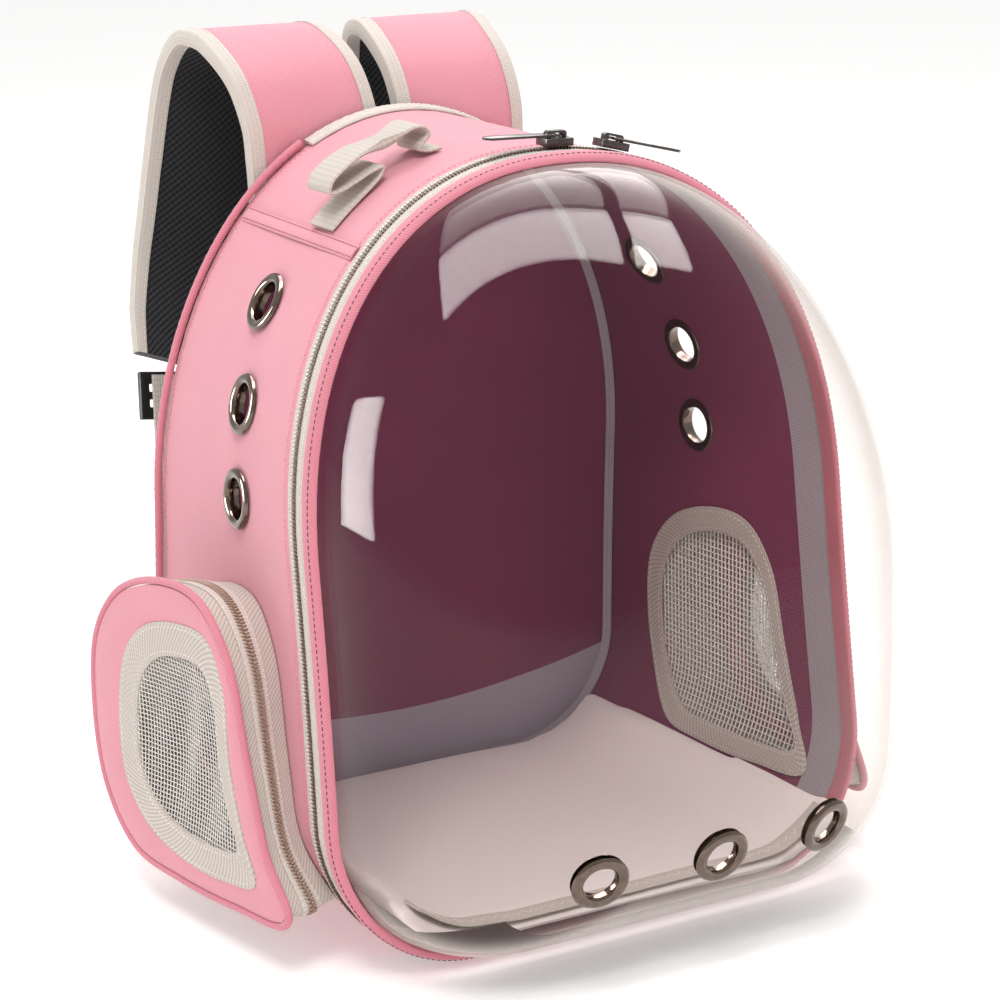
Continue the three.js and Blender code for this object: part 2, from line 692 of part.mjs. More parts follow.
const pocketPieces = [
  ['pocket_band', makePocketBand(), beigeTape],
  ['pocket_zipper', makePocketZip(), zipCoil],
  ['pocket_panel', slab(pocketD, [windowD], onPanel, 0, pocketPanelWall), pinkTwill],
  ['pocket_piping', makePocketPiping(), pinkTwill],
  ['window_binding', slab(grown(windowD, -clearance), [netD], onPanel, 0.4, pocketPanelWall + 0.8), beigeWebbing],
  ['window_net', slab(grown(netD, -clearance), [], onPanel, 0.4, 0.4 + netWall), whiteNet],
  ['wall_net', wallPatch(innerNetD, -0.3, -0.3 - netWall), whiteNet],
  ['wall_net_binding', cut(wallPatch(bandLoop(wallBindingShare.out), liningIn - clearance,
    liningIn - clearance - windowBindingWall), [wallPrism(bandLoop(wallBindingShare.in))]), beigeWebbing],
];
for (const [name, geometry, material] of pocketPieces) {
  add(`${name}_right`, geometry, material);
  add(`${name}_left`, flipped(geometry), material);
}

// A flat band along a path: each stop has a point, the direction of its width, a width and a thickness
function band(stops) {
  return loft(stops.map((stop, i) => {
    const before = stops[Math.max(i - 1, 0)].point;
    const after = stops[Math.min(i + 1, stops.length - 1)].point;
    const tangent = after.clone().sub(before).normalize();
    const side = stop.side.clone().addScaledVector(tangent, -stop.side.dot(tangent)).normalize();
    const up = tangent.clone().cross(side);
    const w = stop.width / 2;
    const h = stop.thick / 2;
    const e = Math.min(h, stop.edge ?? 0);
    const corners = e > 0
      ? [[w, -h + e], [w, h - e], [w - e, h], [-w + e, h], [-w, h - e], [-w, -h + e], [-w + e, -h], [w - e, -h]]
      : [[w, -h], [w, h], [-w, h], [-w, -h]];
    return corners.map(([a, b]) => stop.point.clone().addScaledVector(side, a).addScaledVector(up, b));
  }), false);
}

// Shoulder straps: up off the back panel, over, and down behind it. Shares of the splay across,
// of the standoff behind the back plane, and of the height between tip and top.
const strapPath = [
  { across: 0, sway: 0, behind: 0, rise: 0.5, wide: 0.97 },
  { across: 0, sway: 0.1, behind: 0, rise: 0.66, wide: 1 },
  { across: 0.01, sway: 0.25, behind: 0.02, rise: 0.77, wide: 1 },
  { across: 0.03, sway: 0.6, behind: 0.14, rise: 0.89, wide: 1 },
  { across: 0.06, sway: 0.9, behind: 0.34, rise: 0.965, wide: 1 },
  { across: 0.1, sway: 1, behind: 0.56, rise: 1, wide: 1 },
  { across: 0.15, sway: 1, behind: 0.78, rise: 0.985, wide: 1 },
  { across: 0.21, sway: 1, behind: 0.93, rise: 0.9, wide: 1 },
  { across: 0.27, sway: 1, behind: 0.99, rise: 0.77, wide: 1 },
  { across: 0.39, sway: 1, behind: 1, rise: 0.54, wide: 0.98 },
  { across: 0.6, sway: 0.9, behind: 0.93, rise: 0.3, wide: 0.92 },
  { across: 0.83, sway: 0.8, behind: 0.78, rise: 0.12, wide: 0.82 },
  { across: 1, sway: 0.7, behind: 0.66, rise: 0, wide: 0.66 },
];
const strapRest = backPanelProud + clearance + strapThick / 2;
function strapStops(side) {
  return strapPath.map((row) => {
    const z = strapTip + (strapTop - strapTip) * row.rise;
    const y = backY(z) + strapRest + (strapStandoff - strapRest) * row.behind;
    const x = side * (strapRootX + strapSplay * row.across) + strapSway * row.sway;
    return { point: vec(x, y, z), side: vec(1, 0, 0), width: strapWidth * row.wide, thick: strapThick, edge: 3 };
  });
}
const webbingPath = [
  { run: 0, lag: 0 }, { run: 0.3, lag: -3 }, { run: 0.6, lag: -3 }, { run: 0.85, lag: 0 }, { run: 1, lag: 2 },
];
function webbingStops(side) {
  const footY = backY(webbingFootZ) + backPanelProud + clearance + webbingWall;
  const foot = vec(side * webbingFootX, footY, webbingFootZ);
  const top = strapStops(side).at(-1).point.add(vec(side * 4, 0, -strapTipGap));
  return webbingPath.map((row) => ({
    point: top.clone().lerp(foot, row.run).add(vec(0, row.lag, 0)),
    side: vec(1, 0, 0), width: webbingWidth, thick: webbingWall,
  }));
}
function makeAdjuster(side) {
  const slot = (y) => rectangle(-webbingWidth / 2 - 1, webbingWidth / 2 + 1, y, y + adjuster.slot);
  const gap = (adjuster.height - 3 * adjuster.bar - 2 * adjuster.slot) / 2;
  const low = -adjuster.height / 2 + adjuster.bar + gap;
  const outline = rectangle(-adjuster.width / 2, adjuster.width / 2, -adjuster.height / 2, adjuster.height / 2);
  const plate = plainSlab(outline, [slot(low), slot(low + adjuster.slot + adjuster.bar)], adjuster.thick);
  const [start, next] = webbingStops(side).map((stop) => stop.point);
  const down = next.clone().sub(start).normalize();
  const across = vec(1, 0, 0).addScaledVector(down, -down.x).normalize();
  const behind = across.clone().cross(down).negate();
  if (behind.y < 0) behind.negate();
  const seat = start.clone().addScaledVector(down, adjuster.height / 2 - 2)
    .addScaledVector(behind, webbingWall / 2 + clearance);
  return plate.applyMatrix4(new THREE.Matrix4().makeBasis(down.clone().cross(behind), down, behind).setPosition(seat));
}
for (const [name, side] of [['left', -1], ['right', 1]]) {
  add(`shoulder_strap_${name}`, band(strapStops(side)), pinkTwill);
  add(`strap_webbing_${name}`, band(webbingStops(side)), beigeWebbing);
  add(`strap_adjuster_${name}`, makeAdjuster(side), blackPlastic);
}

// Carry handle: flat webbing up the left shoulder, then the grip, folded back over it and sewn down.
// Shares of the seam's distance from the middle, and of the grip's rise over the skin.
const handlePath = [
  { out: 1, lift: 0.05, wide: 1, thick: 1 }, { out: 0.88, lift: 0.05, wide: 1, thick: 1 },
  { out: 0.77, lift: 0.06, wide: 1, thick: 1 }, { out: 0.68, lift: 0.1, wide: 0.95, thick: 1 },
  { out: 0.63, lift: 0.2, wide: 0.8, thick: 1.4 }, { out: 0.67, lift: 0.34, wide: 0.66, thick: 1.8 },
  { out: 0.76, lift: 0.52, wide: 0.66, thick: 1.8 }, { out: 0.83, lift: 0.7, wide: 0.7, thick: 1.4 },
  { out: 0.85, lift: 0.86, wide: 0.72, thick: 1.4 }, { out: 0.8, lift: 0.97, wide: 0.7, thick: 1.8 },
  { out: 0.66, lift: 0.86, wide: 0.62, thick: 2.4 }, { out: 0.54, lift: 0.56, wide: 0.62, thick: 2.4 },
  { out: 0.45, lift: 0.28, wide: 0.8, thick: 2 }, { out: 0.39, lift: 0.1, wide: 0.9, thick: 1.2 },
  { out: 0.33, lift: 0.06, wide: 1, thick: 1 },
];
add('carry_handle', band(handlePath.map((row) => ({
  point: topAt(-handleSeamX * row.out, handleY, 2 * clearance + 0.3 + webbingWall / 2 + handleRise * (row.lift - 0.05)).point,
  side: vec(0, 1, 0), width: handleWidth * row.wide, thick: webbingWall * row.thick,
}))), beigeWebbing);

// Zip sliders ride the coil near the top; each pull hangs on its slider's bridge and swings about it
function sliderFrame(x) {
  const t = solve((u) => bodyPoint(u, fromRim(coilSetback), coilProud).x, 2.6, 5.4, x);
  const origin = bodyPoint(t, fromRim(coilSetback), coilProud + clearance);
  const away = x > (sliderX.left + sliderX.right) / 2 ? -1 : 1;
  const along = bodyPoint(t + away * 0.03, fromRim(coilSetback), coilProud)
    .sub(bodyPoint(t - away * 0.03, fromRim(coilSetback), coilProud)).normalize();
  const back = bodyPoint(t, fromRim(coilSetback + 5), coilProud).sub(bodyPoint(t, fromRim(coilSetback), coilProud));
  const normal = back.cross(along).normalize();
  if (normal.z < 0) normal.negate();
  return new THREE.Matrix4().makeBasis(along, normal.clone().cross(along), normal).setPosition(origin);
}
const pivotHeight = slider.height + slider.arch / 2 - 0.5;
function makeSlider() {
  const half = slider.length / 2;
  const base = slab(rectangle(-half, half, 0, slider.height), [], (a, b, c) => vec(a, c, b),
    -slider.width / 2, slider.width / 2);
  const reach = slider.bridgeLength / 2;
  const inside = reach - slider.post;
  const top = slider.height + slider.arch;
  const bridge = [
    [-reach, slider.height - 1], [reach, slider.height - 1], [reach, top - 1], [reach - 1.2, top],
    [-reach + 1.2, top], [-reach, top - 1],
  ].map(([x, y]) => new THREE.Vector2(x, y));
  const eye = rectangle(-inside, inside, slider.height + 0.1, top - 1.2);
  const arch = slab(bridge, [eye], (a, b, c) => vec(a, c, b), -slider.bridge / 2, slider.bridge / 2);
  return fuse([base, arch]);
}
function makePull() {
  const w = pull.width / 2;
  const tipRound = 3;
  const outline = [
    [-pull.bar / 2, -w + 1], [pull.length - tipRound, -w], [pull.length, -w + tipRound],
    [pull.length, w - tipRound], [pull.length - tipRound, w], [-pull.bar / 2, w - 1],
  ].map(([x, y]) => new THREE.Vector2(x, y));
  const eye = rectangle(pull.bar / 2, pull.bar / 2 + pull.eye, -slider.bridge / 2 - 0.5, slider.bridge / 2 + 0.5);
  const plate = plainSlab(outline, [eye], pull.thick);
  plate.translate(0, 0, -pull.thick / 2);
  return plate;
}
for (const [side, x] of Object.entries(sliderX)) {
  const seat = new THREE.Group();
  seat.applyMatrix4(sliderFrame(x));
  pack.add(seat);
  add(`zip_slider_${side}`, makeSlider(), darkMetal, seat);
  const hinge = new THREE.Group();
  hinge.position.z = pivotHeight;
  seat.add(hinge);
  add(`zip_pull_${side}`, makePull(), darkMetal, hinge);
}

export default pack;
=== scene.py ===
"""A bubble pet carrier backpack of pink twill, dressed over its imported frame."""
import math

import bpy
import numpy as np
from mathutils import Matrix, Vector


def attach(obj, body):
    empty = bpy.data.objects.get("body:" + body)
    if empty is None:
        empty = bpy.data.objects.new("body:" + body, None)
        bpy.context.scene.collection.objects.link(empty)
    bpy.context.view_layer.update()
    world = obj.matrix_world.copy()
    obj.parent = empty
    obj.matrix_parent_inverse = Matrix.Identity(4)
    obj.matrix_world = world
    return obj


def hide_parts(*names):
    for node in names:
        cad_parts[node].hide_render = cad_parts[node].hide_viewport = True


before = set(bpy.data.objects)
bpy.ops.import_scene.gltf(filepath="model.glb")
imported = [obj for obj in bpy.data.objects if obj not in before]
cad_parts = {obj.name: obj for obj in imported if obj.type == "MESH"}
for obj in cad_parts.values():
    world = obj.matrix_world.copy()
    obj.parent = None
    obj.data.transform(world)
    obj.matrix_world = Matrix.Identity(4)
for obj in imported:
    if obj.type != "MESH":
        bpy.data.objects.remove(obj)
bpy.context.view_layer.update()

MM = 0.001
PI = math.pi

# Sizes of the body, in millimetres, as the frame was made
FRONT = {"half": 159, "base": 161, "height": 393.5, "spring": 205.2, "corner": 75.8, "square": 2.207}
REAR = {"half": 145, "base": 147, "height": 398, "spring": 197.8, "corner": 71.8, "square": 2.01}
BODY_DEPTH, RIM_LEAN, BACK_LEAN, SOLE = 246.6, 0.136, 0.0495, 3
SHELL_WALL, LINING_OUT, LINING_IN = 2.2, -2.9, -4.0
RING_INSET, CLEAR = 4, 0.35
SHELL_START = 27.5
BUBBLE = {"reach": 96, "wall": 2, "centre": 66, "boxy": 2.51, "round": 1.985, "low": 0.359, "high": 0.171, "rise": 13.5}
POCKET = {"front": -96, "bottom": 27, "width": 173, "height": 158, "near": 19, "far": 43}


def arch_point(arch, t):
    """Outline of an arch: 0 to 4 up the +X half and 4 to 8 down the other."""
    t = np.mod(t, 8)
    side = np.where(t <= 4, 1.0, -1.0)
    u = np.where(t <= 4, t, 8 - t)
    flat = arch["base"] - arch["corner"]
    turn = (np.clip(u, 1, 2) - 1) * PI / 2
    ease = np.sin(np.clip(u - 2, 0, 1) * PI / 2)
    angle = np.clip(u - 3, 0, 1) * PI / 2
    power = 2 / arch["square"]
    bow_x = arch["half"] * np.clip(np.cos(angle), 0, 1) ** power
    bow_z = arch["spring"] + (arch["height"] - arch["spring"]) * np.clip(np.sin(angle), 0, 1) ** power
    wall_x = arch["base"] + (arch["half"] - arch["base"]) * ease
    wall_z = arch["corner"] + (arch["spring"] - arch["corner"]) * np.clip(u - 2, 0, 1)
    x = np.select([u <= 1, u <= 2, u <= 3], [flat * u, flat + arch["corner"] * np.sin(turn), wall_x], bow_x)
    z = np.select([u <= 1, u <= 2, u <= 3], [0 * u, arch["corner"] * (1 - np.cos(turn)), wall_z], bow_z)
    return side * x, z


def rim_y(z):
    return RIM_LEAN * z - BODY_DEPTH / 2


def back_y(z):
    return BODY_DEPTH / 2 - BACK_LEAN * z


def unit(v):
    return v / np.maximum(np.linalg.norm(v, axis=-1, keepdims=True), 1e-12)


def body(t, place, out=0.0):
    """Points on the body; place is (distance from rim, distance from back, share between them)."""
    near, far, share = place
    t = np.asarray(t, float)

    def at(p):
        ax, az = arch_point(FRONT, p)
        bx, bz = arch_point(REAR, p)
        y0, y1 = rim_y(az), back_y(bz)
        s = (near + share * (y1 - y0 - near - far)) / (y1 - y0)
        return np.stack([ax + (bx - ax) * s, y0 + (y1 - y0) * s, az + (bz - az) * s], -1)

    step = at(t + 0.02) - at(t - 0.02)
    normal = unit(np.stack([step[..., 2], 0 * step[..., 0], -step[..., 0]], -1))
    return at(t) + normal * np.asarray(out)[..., None] + [0, 0, SOLE]


def rim(distance):
    return (distance, 0, 0)


def back(distance):
    return (0, distance, 1)


def skin(t, y, out=0.0):
    """The skin at outline place t and a real y, with its normal."""
    def at(p, depth):
        ax, az = arch_point(FRONT, p)
        bx, bz = arch_point(REAR, p)
        s = (depth - rim_y(az)) / (back_y(bz) - rim_y(az))
        return np.stack([ax + (bx - ax) * s, depth + 0 * s, az + (bz - az) * s + SOLE], -1)

    normal = unit(np.cross(at(t + 0.02, y) - at(t - 0.02, y), at(t, y + 5) - at(t, y - 5)))
    point = at(t, y)
    outward = normal[..., 0] * point[..., 0] + normal[..., 2] * (point[..., 2] - FRONT["spring"]) < 0
    normal = np.where(outward[..., None], -normal, normal)
    return point + normal * np.asarray(out)[..., None], normal


def find(value, low, high, target):
    """Bisection for whole arrays: where value(t) passes target."""
    a, b = np.full(np.shape(target), float(low)), np.full(np.shape(target), float(high))
    rising = value(b) > value(a)
    for _ in range(36):
        mid = (a + b) / 2
        lower = (value(mid) < target) == rising
        a, b = np.where(lower, mid, a), np.where(lower, b, mid)
    return (a + b) / 2


def side_wall(side, y, z, out=0.0):
    y, z = np.asarray(y, float), np.asarray(z, float)
    t = find(lambda u: skin(u, y)[0][..., 2], 1, 3.98, z)
    point, normal = skin(t, y, out)
    turn = np.array([side, 1, 1])
    return point * turn, normal * turn


def top_wall(x, y, out=0.0):
    x, y = np.asarray(x, float), np.asarray(y, float)
    t = find(lambda u: skin(u, y)[0][..., 0], 2.6, 5.4, x)
    return skin(t, y, out)


def around(count, start=0.0, end=8.0):
    """Outline places an equal length apart; the last is left out on a whole turn."""
    fine = np.linspace(start, end, 4001)
    x, z = arch_point(FRONT, fine)
    run = np.concatenate([[0], np.cumsum(np.hypot(np.diff(x), np.diff(z)))])
    whole = end - start >= 8
    marks = np.linspace(0, run[-1], count + 1 if whole else count)
    return np.interp(marks[:-1] if whole else marks, run, fine)


# Colours and materials
def linear(code):
    """sRGB hex to linear colour."""
    parts = [int(code[i:i + 2], 16) / 255 for i in (1, 3, 5)]
    return [c / 12.92 if c <= 0.04045 else ((c + 0.055) / 1.055) ** 2.4 for c in parts] + [1]


def node(tree, kind, settings=None, sockets=None):
    """Adds a node with its settings and its input values or links."""
    made = tree.nodes.new("ShaderNode" + kind)
    for key, value in (settings or {}).items():
        setattr(made, key, value)
    for key, value in (sockets or {}).items():
        if isinstance(value, bpy.types.NodeSocket):
            tree.links.new(value, made.inputs[key])
        else:
            made.inputs[key].default_value = value
    return made


def blank(name):
    material = bpy.data.materials.new(name)
    material.use_nodes = True
    tree = material.node_tree
    tree.nodes.clear()
    return material, tree


def close(tree, shader):
    out = tree.nodes.new("ShaderNodeOutputMaterial")
    tree.links.new(shader.outputs[0], out.inputs["Surface"])


def woven(name, light, dark, pitch, angle=45.0, thread=0.8, contrast=0.6, relief=0.12,
          rough=0.85, sheen=0.25, patches=0.12, source="UV", blotch=28):
    """Cloth with ribs `pitch` mm apart at an angle and threads across them, on UV or the upright plane."""
    material, tree = blank(name)
    place = node(tree, "TexCoord")
    tip = -PI / 2 if source == "Object" else 0
    turned = node(tree, "Mapping", {}, {"Vector": place.outputs[source], "Rotation": (tip, 0, math.radians(angle))})
    ribs = node(tree, "TexWave", {"bands_direction": "X"},
                {"Vector": turned.outputs[0], "Scale": PI / 10 / (pitch * MM), "Distortion": 0.4, "Detail": 1.0})
    threads = node(tree, "TexWave", {"bands_direction": "Y"},
                   {"Vector": turned.outputs[0], "Scale": PI / 10 / (thread * MM), "Distortion": 0.6, "Detail": 1.0})
    height = node(tree, "Math", {"operation": "MULTIPLY_ADD"},
                  {0: threads.outputs["Fac"], 1: 0.35, 2: ribs.outputs["Fac"]})
    cloud = node(tree, "TexNoise", {}, {"Vector": place.outputs["Object"], "Scale": blotch, "Detail": 4.0})
    level = node(tree, "MapRange", {}, {"Value": height.outputs[0], "From Min": 0.0, "From Max": 1.3,
                                        "To Min": 0.5 - contrast / 2, "To Max": 0.5 + contrast / 2})
    tone = node(tree, "MixRGB", {}, {"Fac": level.outputs[0], "Color1": linear(dark), "Color2": linear(light)})
    shade = node(tree, "MapRange", {}, {"Value": cloud.outputs["Fac"], "To Min": 1 - patches, "To Max": 1 + patches})
    colour = node(tree, "MixRGB", {"blend_type": "MULTIPLY"},
                  {"Fac": 1.0, "Color1": tone.outputs[0], "Color2": shade.outputs[0]})
    bump = node(tree, "Bump", {}, {"Height": height.outputs[0], "Strength": 0.5, "Distance": relief * MM})
    close(tree, node(tree, "BsdfPrincipled", {}, {
        "Base Color": colour.outputs[0], "Roughness": rough, "Normal": bump.outputs[0],
        "Sheen Weight": sheen, "Sheen Roughness": 0.4, "Specular IOR Level": 0.25}))
    return material


def grained(name, light, dark, grain, rough=0.6, metallic=0.0, relief=0.05, sheen=0.0, coat=0.0, specular=0.5):
    """A solid finish with a fine noise grain, on Object coordinates."""
    material, tree = blank(name)
    place = node(tree, "TexCoord")
    fine = node(tree, "TexNoise", {}, {"Vector": place.outputs["Object"], "Scale": 1 / (grain * MM), "Detail": 3.0})
    wide = node(tree, "TexNoise", {}, {"Vector": place.outputs["Object"], "Scale": 60.0, "Detail": 2.0})
    tone = node(tree, "MixRGB", {}, {"Fac": fine.outputs["Fac"], "Color1": linear(dark), "Color2": linear(light)})
    spread = node(tree, "MapRange", {}, {"Value": wide.outputs["Fac"], "To Min": rough - 0.08, "To Max": rough + 0.08})
    bump = node(tree, "Bump", {}, {"Height": fine.outputs["Fac"], "Strength": 0.4, "Distance": relief * MM})
    close(tree, node(tree, "BsdfPrincipled", {}, {
        "Base Color": tone.outputs[0], "Roughness": spread.outputs[0], "Metallic": metallic,
        "Normal": bump.outputs[0], "Sheen Weight": sheen, "Coat Weight": coat, "Coat Roughness": 0.1,
        "Specular IOR Level": specular}))
    return material


def clear_plastic(name):
    """Vacuum-formed clear sheet: see-through face on, glossier and creamier where it is seen edge on."""
    material, tree = blank(name)
    edge = node(tree, "LayerWeight", {}, {"Blend": 0.5})
    cream = node(tree, "MapRange", {"interpolation_type": "SMOOTHSTEP"},
                 {"Value": edge.outputs["Facing"], "From Min": 0.5, "From Max": 1.0, "To Min": 0.0, "To Max": 0.4})
    through = node(tree, "BsdfTransparent", {}, {"Color": linear("#FBF9F8")})
    haze = node(tree, "BsdfPrincipled", {}, {"Base Color": linear("#F7EFE6"), "Roughness": 0.6,
                                             "Specular IOR Level": 0.0})
    sheet = node(tree, "MixShader", {}, {0: cream.outputs[0], 1: through.outputs[0], 2: haze.outputs[0]})
    steep = node(tree, "Math", {"operation": "POWER"}, {0: edge.outputs["Facing"], 1: 5.0})
    mirror = node(tree, "Math", {"operation": "MULTIPLY_ADD"}, {0: steep.outputs[0], 1: 0.45, 2: 0.009})
    gloss = node(tree, "BsdfGlossy", {}, {"Color": linear("#FFFFFF"), "Roughness": 0.02})
    close(tree, node(tree, "MixShader", {}, {0: mirror.outputs[0], 1: sheet.outputs[0], 2: gloss.outputs[0]}))
    return material


def plum_weave(name):
    return woven(name, "#86355A", "#6D2A4A", 2.2, 0, 2.2, 0.22, 0.012, 0.7, 0.15, 0.16, blotch=14)


def two_tone_lining(name, border):
    """Plum lining whose lower part is a lilac-grey panel, with its slightly curved upper edge in millimetres."""
    material = plum_weave(name)
    tree = material.node_tree
    shader = next(n for n in tree.nodes if n.type == "BSDF_PRINCIPLED")
    plum = shader.inputs["Base Color"].links[0].from_socket
    place = node(tree, "TexCoord")
    split = node(tree, "SeparateXYZ", {}, {"Vector": place.outputs["Object"]})
    square = node(tree, "Math", {"operation": "MULTIPLY"}, {0: split.outputs["X"], 1: split.outputs["X"]})
    edge = node(tree, "Math", {"operation": "MULTIPLY_ADD"}, {0: square.outputs[0], 1: 0.9, 2: border * MM})
    below = node(tree, "Math", {"operation": "LESS_THAN"}, {0: split.outputs["Z"], 1: edge.outputs[0]})
    both = node(tree, "MixRGB", {}, {"Fac": below.outputs[0], "Color1": plum, "Color2": linear("#A79AA8")})
    tree.links.new(both.outputs[0], shader.inputs["Base Color"])
    return material


# Polyester twill: fine slanted ribs, matt, paler where they catch the light
PINK_TWILL = woven("pink_polyester_twill", "#E09BA6", "#CE8390", 1.5, 52, 0.9, 0.75, 0.14, 0.85, 0.3, 0.05)
# Twill of the narrow piping, its ribs seen closer
PINK_PIPING = woven("pink_twill_piping", "#DA8C99", "#C06C7C", 1.3, 35, 0.9, 0.7, 0.12, 0.8, 0.3, 0.06)
# Woven polyester tape: fine ribs across its length
BEIGE_TAPE = woven("beige_woven_tape", "#D9D0C8", "#B9AEA4", 1.25, 0, 2.4, 0.8, 0.16, 0.85, 0.2, 0.05)
# Ribbed webbing: a heavier grosgrain
BEIGE_WEBBING = woven("beige_ribbed_webbing", "#D2C8BE", "#ABA096", 1.6, 90, 3.1, 0.9, 0.28, 0.85, 0.2, 0.05)
# Herringbone tape of the pocket gussets
GUSSET_TAPE = woven("beige_herringbone_tape", "#D4CAC1", "#A99E95", 2.2, 40, 2.2, 0.85, 0.2, 0.85, 0.2, 0.06)
# Dyed polyester lining: a plain close weave with a slight satin sheen
PLUM_LINING = plum_weave("plum_polyester_lining")
BACK_LINING = two_tone_lining("plum_lining_with_lilac_foot", 48)
# Grey woven tape over the inner seams
GREY_TAPE = woven("grey_woven_tape", "#B9ADB3", "#877B82", 1.3, 0, 2.2, 0.8, 0.14, 0.85, 0.2, 0.08)
# Brushed cloth of the floor mat
MAT_CLOTH = grained("brushed_mat_cloth", "#F6EEEB", "#E8DCD8", 1.2, 0.9, 0.0, 0.18, 0.4, 0.0, 0.2)
# Knitted spacer mesh
SPACER_MESH = woven("black_spacer_mesh", "#3A3A3D", "#0E0E10", 3.0, 45, 3.0, 1.0, 0.5, 0.8, 0.3, 0.1)
# The same mesh on the upright back panel
BACK_MESH = woven("black_back_spacer_mesh", "#454548", "#0C0C0E", 4.2, 45, 4.2, 1.0, 0.9, 0.8, 0.3, 0.1,
                  source="Object")
# Net of twisted polyester cord
NET_CORD = grained("off_white_net_cord", "#E9E6E0", "#CFCAC2", 0.8, 0.8, 0.0, 0.1, 0.1, 0.0, 0.3)
# The same net where it lines the left pocket, made dark as painted shade for the dim cabin seen behind it
NET_CORD_PAINTED_SHADE = grained("net_cord_painted_shade", "#3A2A33", "#22171D", 0.8, 0.8, 0.0, 0.1, 0.1, 0.0, 0.3)
# Nylon zip coils, woven to their tapes
COIL_BROWN = grained("brown_nylon_coil", "#7A5F50", "#4B372D", 0.9, 0.38, 0.0, 0.03, 0.0, 0.15)
COIL_BRONZE = grained("bronze_nylon_coil", "#B79C88", "#7D6353", 0.9, 0.32, 0.0, 0.03, 0.0, 0.2)
COIL_CREAM = grained("cream_nylon_coil", "#E5DCD0", "#C5B7A8", 0.9, 0.38, 0.0, 0.03, 0.0, 0.15)
# Sewing threads
THREAD_PINK = grained("pink_sewing_thread", "#F0A6B2", "#D07A8A", 0.4, 0.6, 0.0, 0.03)
THREAD_ROSE = grained("rose_sewing_thread", "#B8646F", "#8F4450", 0.4, 0.6, 0.0, 0.03)
THREAD_PLUM = grained("plum_sewing_thread", "#5A2A3E", "#351524", 0.4, 0.6, 0.0, 0.03)
THREAD_BEIGE = grained("beige_sewing_thread", "#EFE8E0", "#C9BFB5", 0.4, 0.6, 0.0, 0.03)
# Stamped eyelets, gunmetal plated and polished
EYELET_METAL = grained("gunmetal_plated_brass", "#7B6A5E", "#4A3E37", 3.0, 0.16, 1.0, 0.02, 0.0, 0.4)
# Die-cast zip sliders, dark plated
SLIDER_METAL = grained("dark_plated_zinc", "#5E5955", "#34302E", 2.0, 0.3, 1.0, 0.02, 0.0, 0.3)
# Moulded acetal buckles
BLACK_PLASTIC = grained("moulded_black_acetal", "#1E1E20", "#121213", 0.7, 0.42, 0.0, 0.02)
# Coated cloth under the stiff sole
SOLE_CLOTH = woven("taupe_coated_sole", "#6E5850", "#52403A", 1.4, 0, 1.4, 0.6, 0.1, 0.7, 0.1, 0.1)
# The same cloth, darkened as painted shade for the shadow on the floor seen through the clear sheet
FLOOR_PAINTED_SHADE = woven("painted_shade_floor_cloth", "#493630", "#33251F", 1.4, 0, 1.4, 0.6, 0.1, 0.8, 0.0, 0.1)
CLEAR_SHEET = clear_plastic("clear_vacuum_formed_sheet")


# Making pieces
def placed(name, data):
    """A new object in the scene."""
    obj = bpy.data.objects.new(name, data)
    bpy.context.scene.collection.objects.link(obj)
    return obj


def meshed(name, points, faces):
    """A new object in the scene from points in metres and their faces."""
    mesh = bpy.data.meshes.new(name)
    mesh.from_pydata(points, [], faces)
    return placed(name, mesh)


def only(obj):
    bpy.ops.object.select_all(action="DESELECT")
    obj.select_set(True)
    bpy.context.view_layer.objects.active = obj


def points_of(mesh):
    co = np.empty(len(mesh.vertices) * 3)
    mesh.vertices.foreach_get("co", co)
    return co.reshape(-1, 3)


def move_points(mesh, co):
    mesh.vertices.foreach_set("co", co.ravel())
    mesh.update()


def facing_out(obj):
    """Turns a closed mesh's faces outwards by the sign of its volume."""
    mesh = obj.data
    mesh.calc_loop_triangles()
    co = points_of(mesh)
    tri = np.empty(len(mesh.loop_triangles) * 3, int)
    mesh.loop_triangles.foreach_get("vertices", tri)
    a, b, c = (co[tri.reshape(-1, 3)[:, i]] for i in range(3))
    if (a * np.cross(b, c)).sum() < 0:
        mesh.flip_normals()


def settle(obj, name, material, body_name, nodes=(), angle=40):
    """Names a finished piece, smooths it, gives it its finish and its body."""
    obj.name = name
    obj.data.name = name
    obj.data.materials.clear()
    for one in material if isinstance(material, (list, tuple)) else [material]:
        obj.data.materials.append(one)
    only(obj)
    bpy.ops.object.shade_smooth_by_angle(angle=math.radians(angle))
    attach(obj, body_name)
    if nodes:
        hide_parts(*nodes)
    return obj


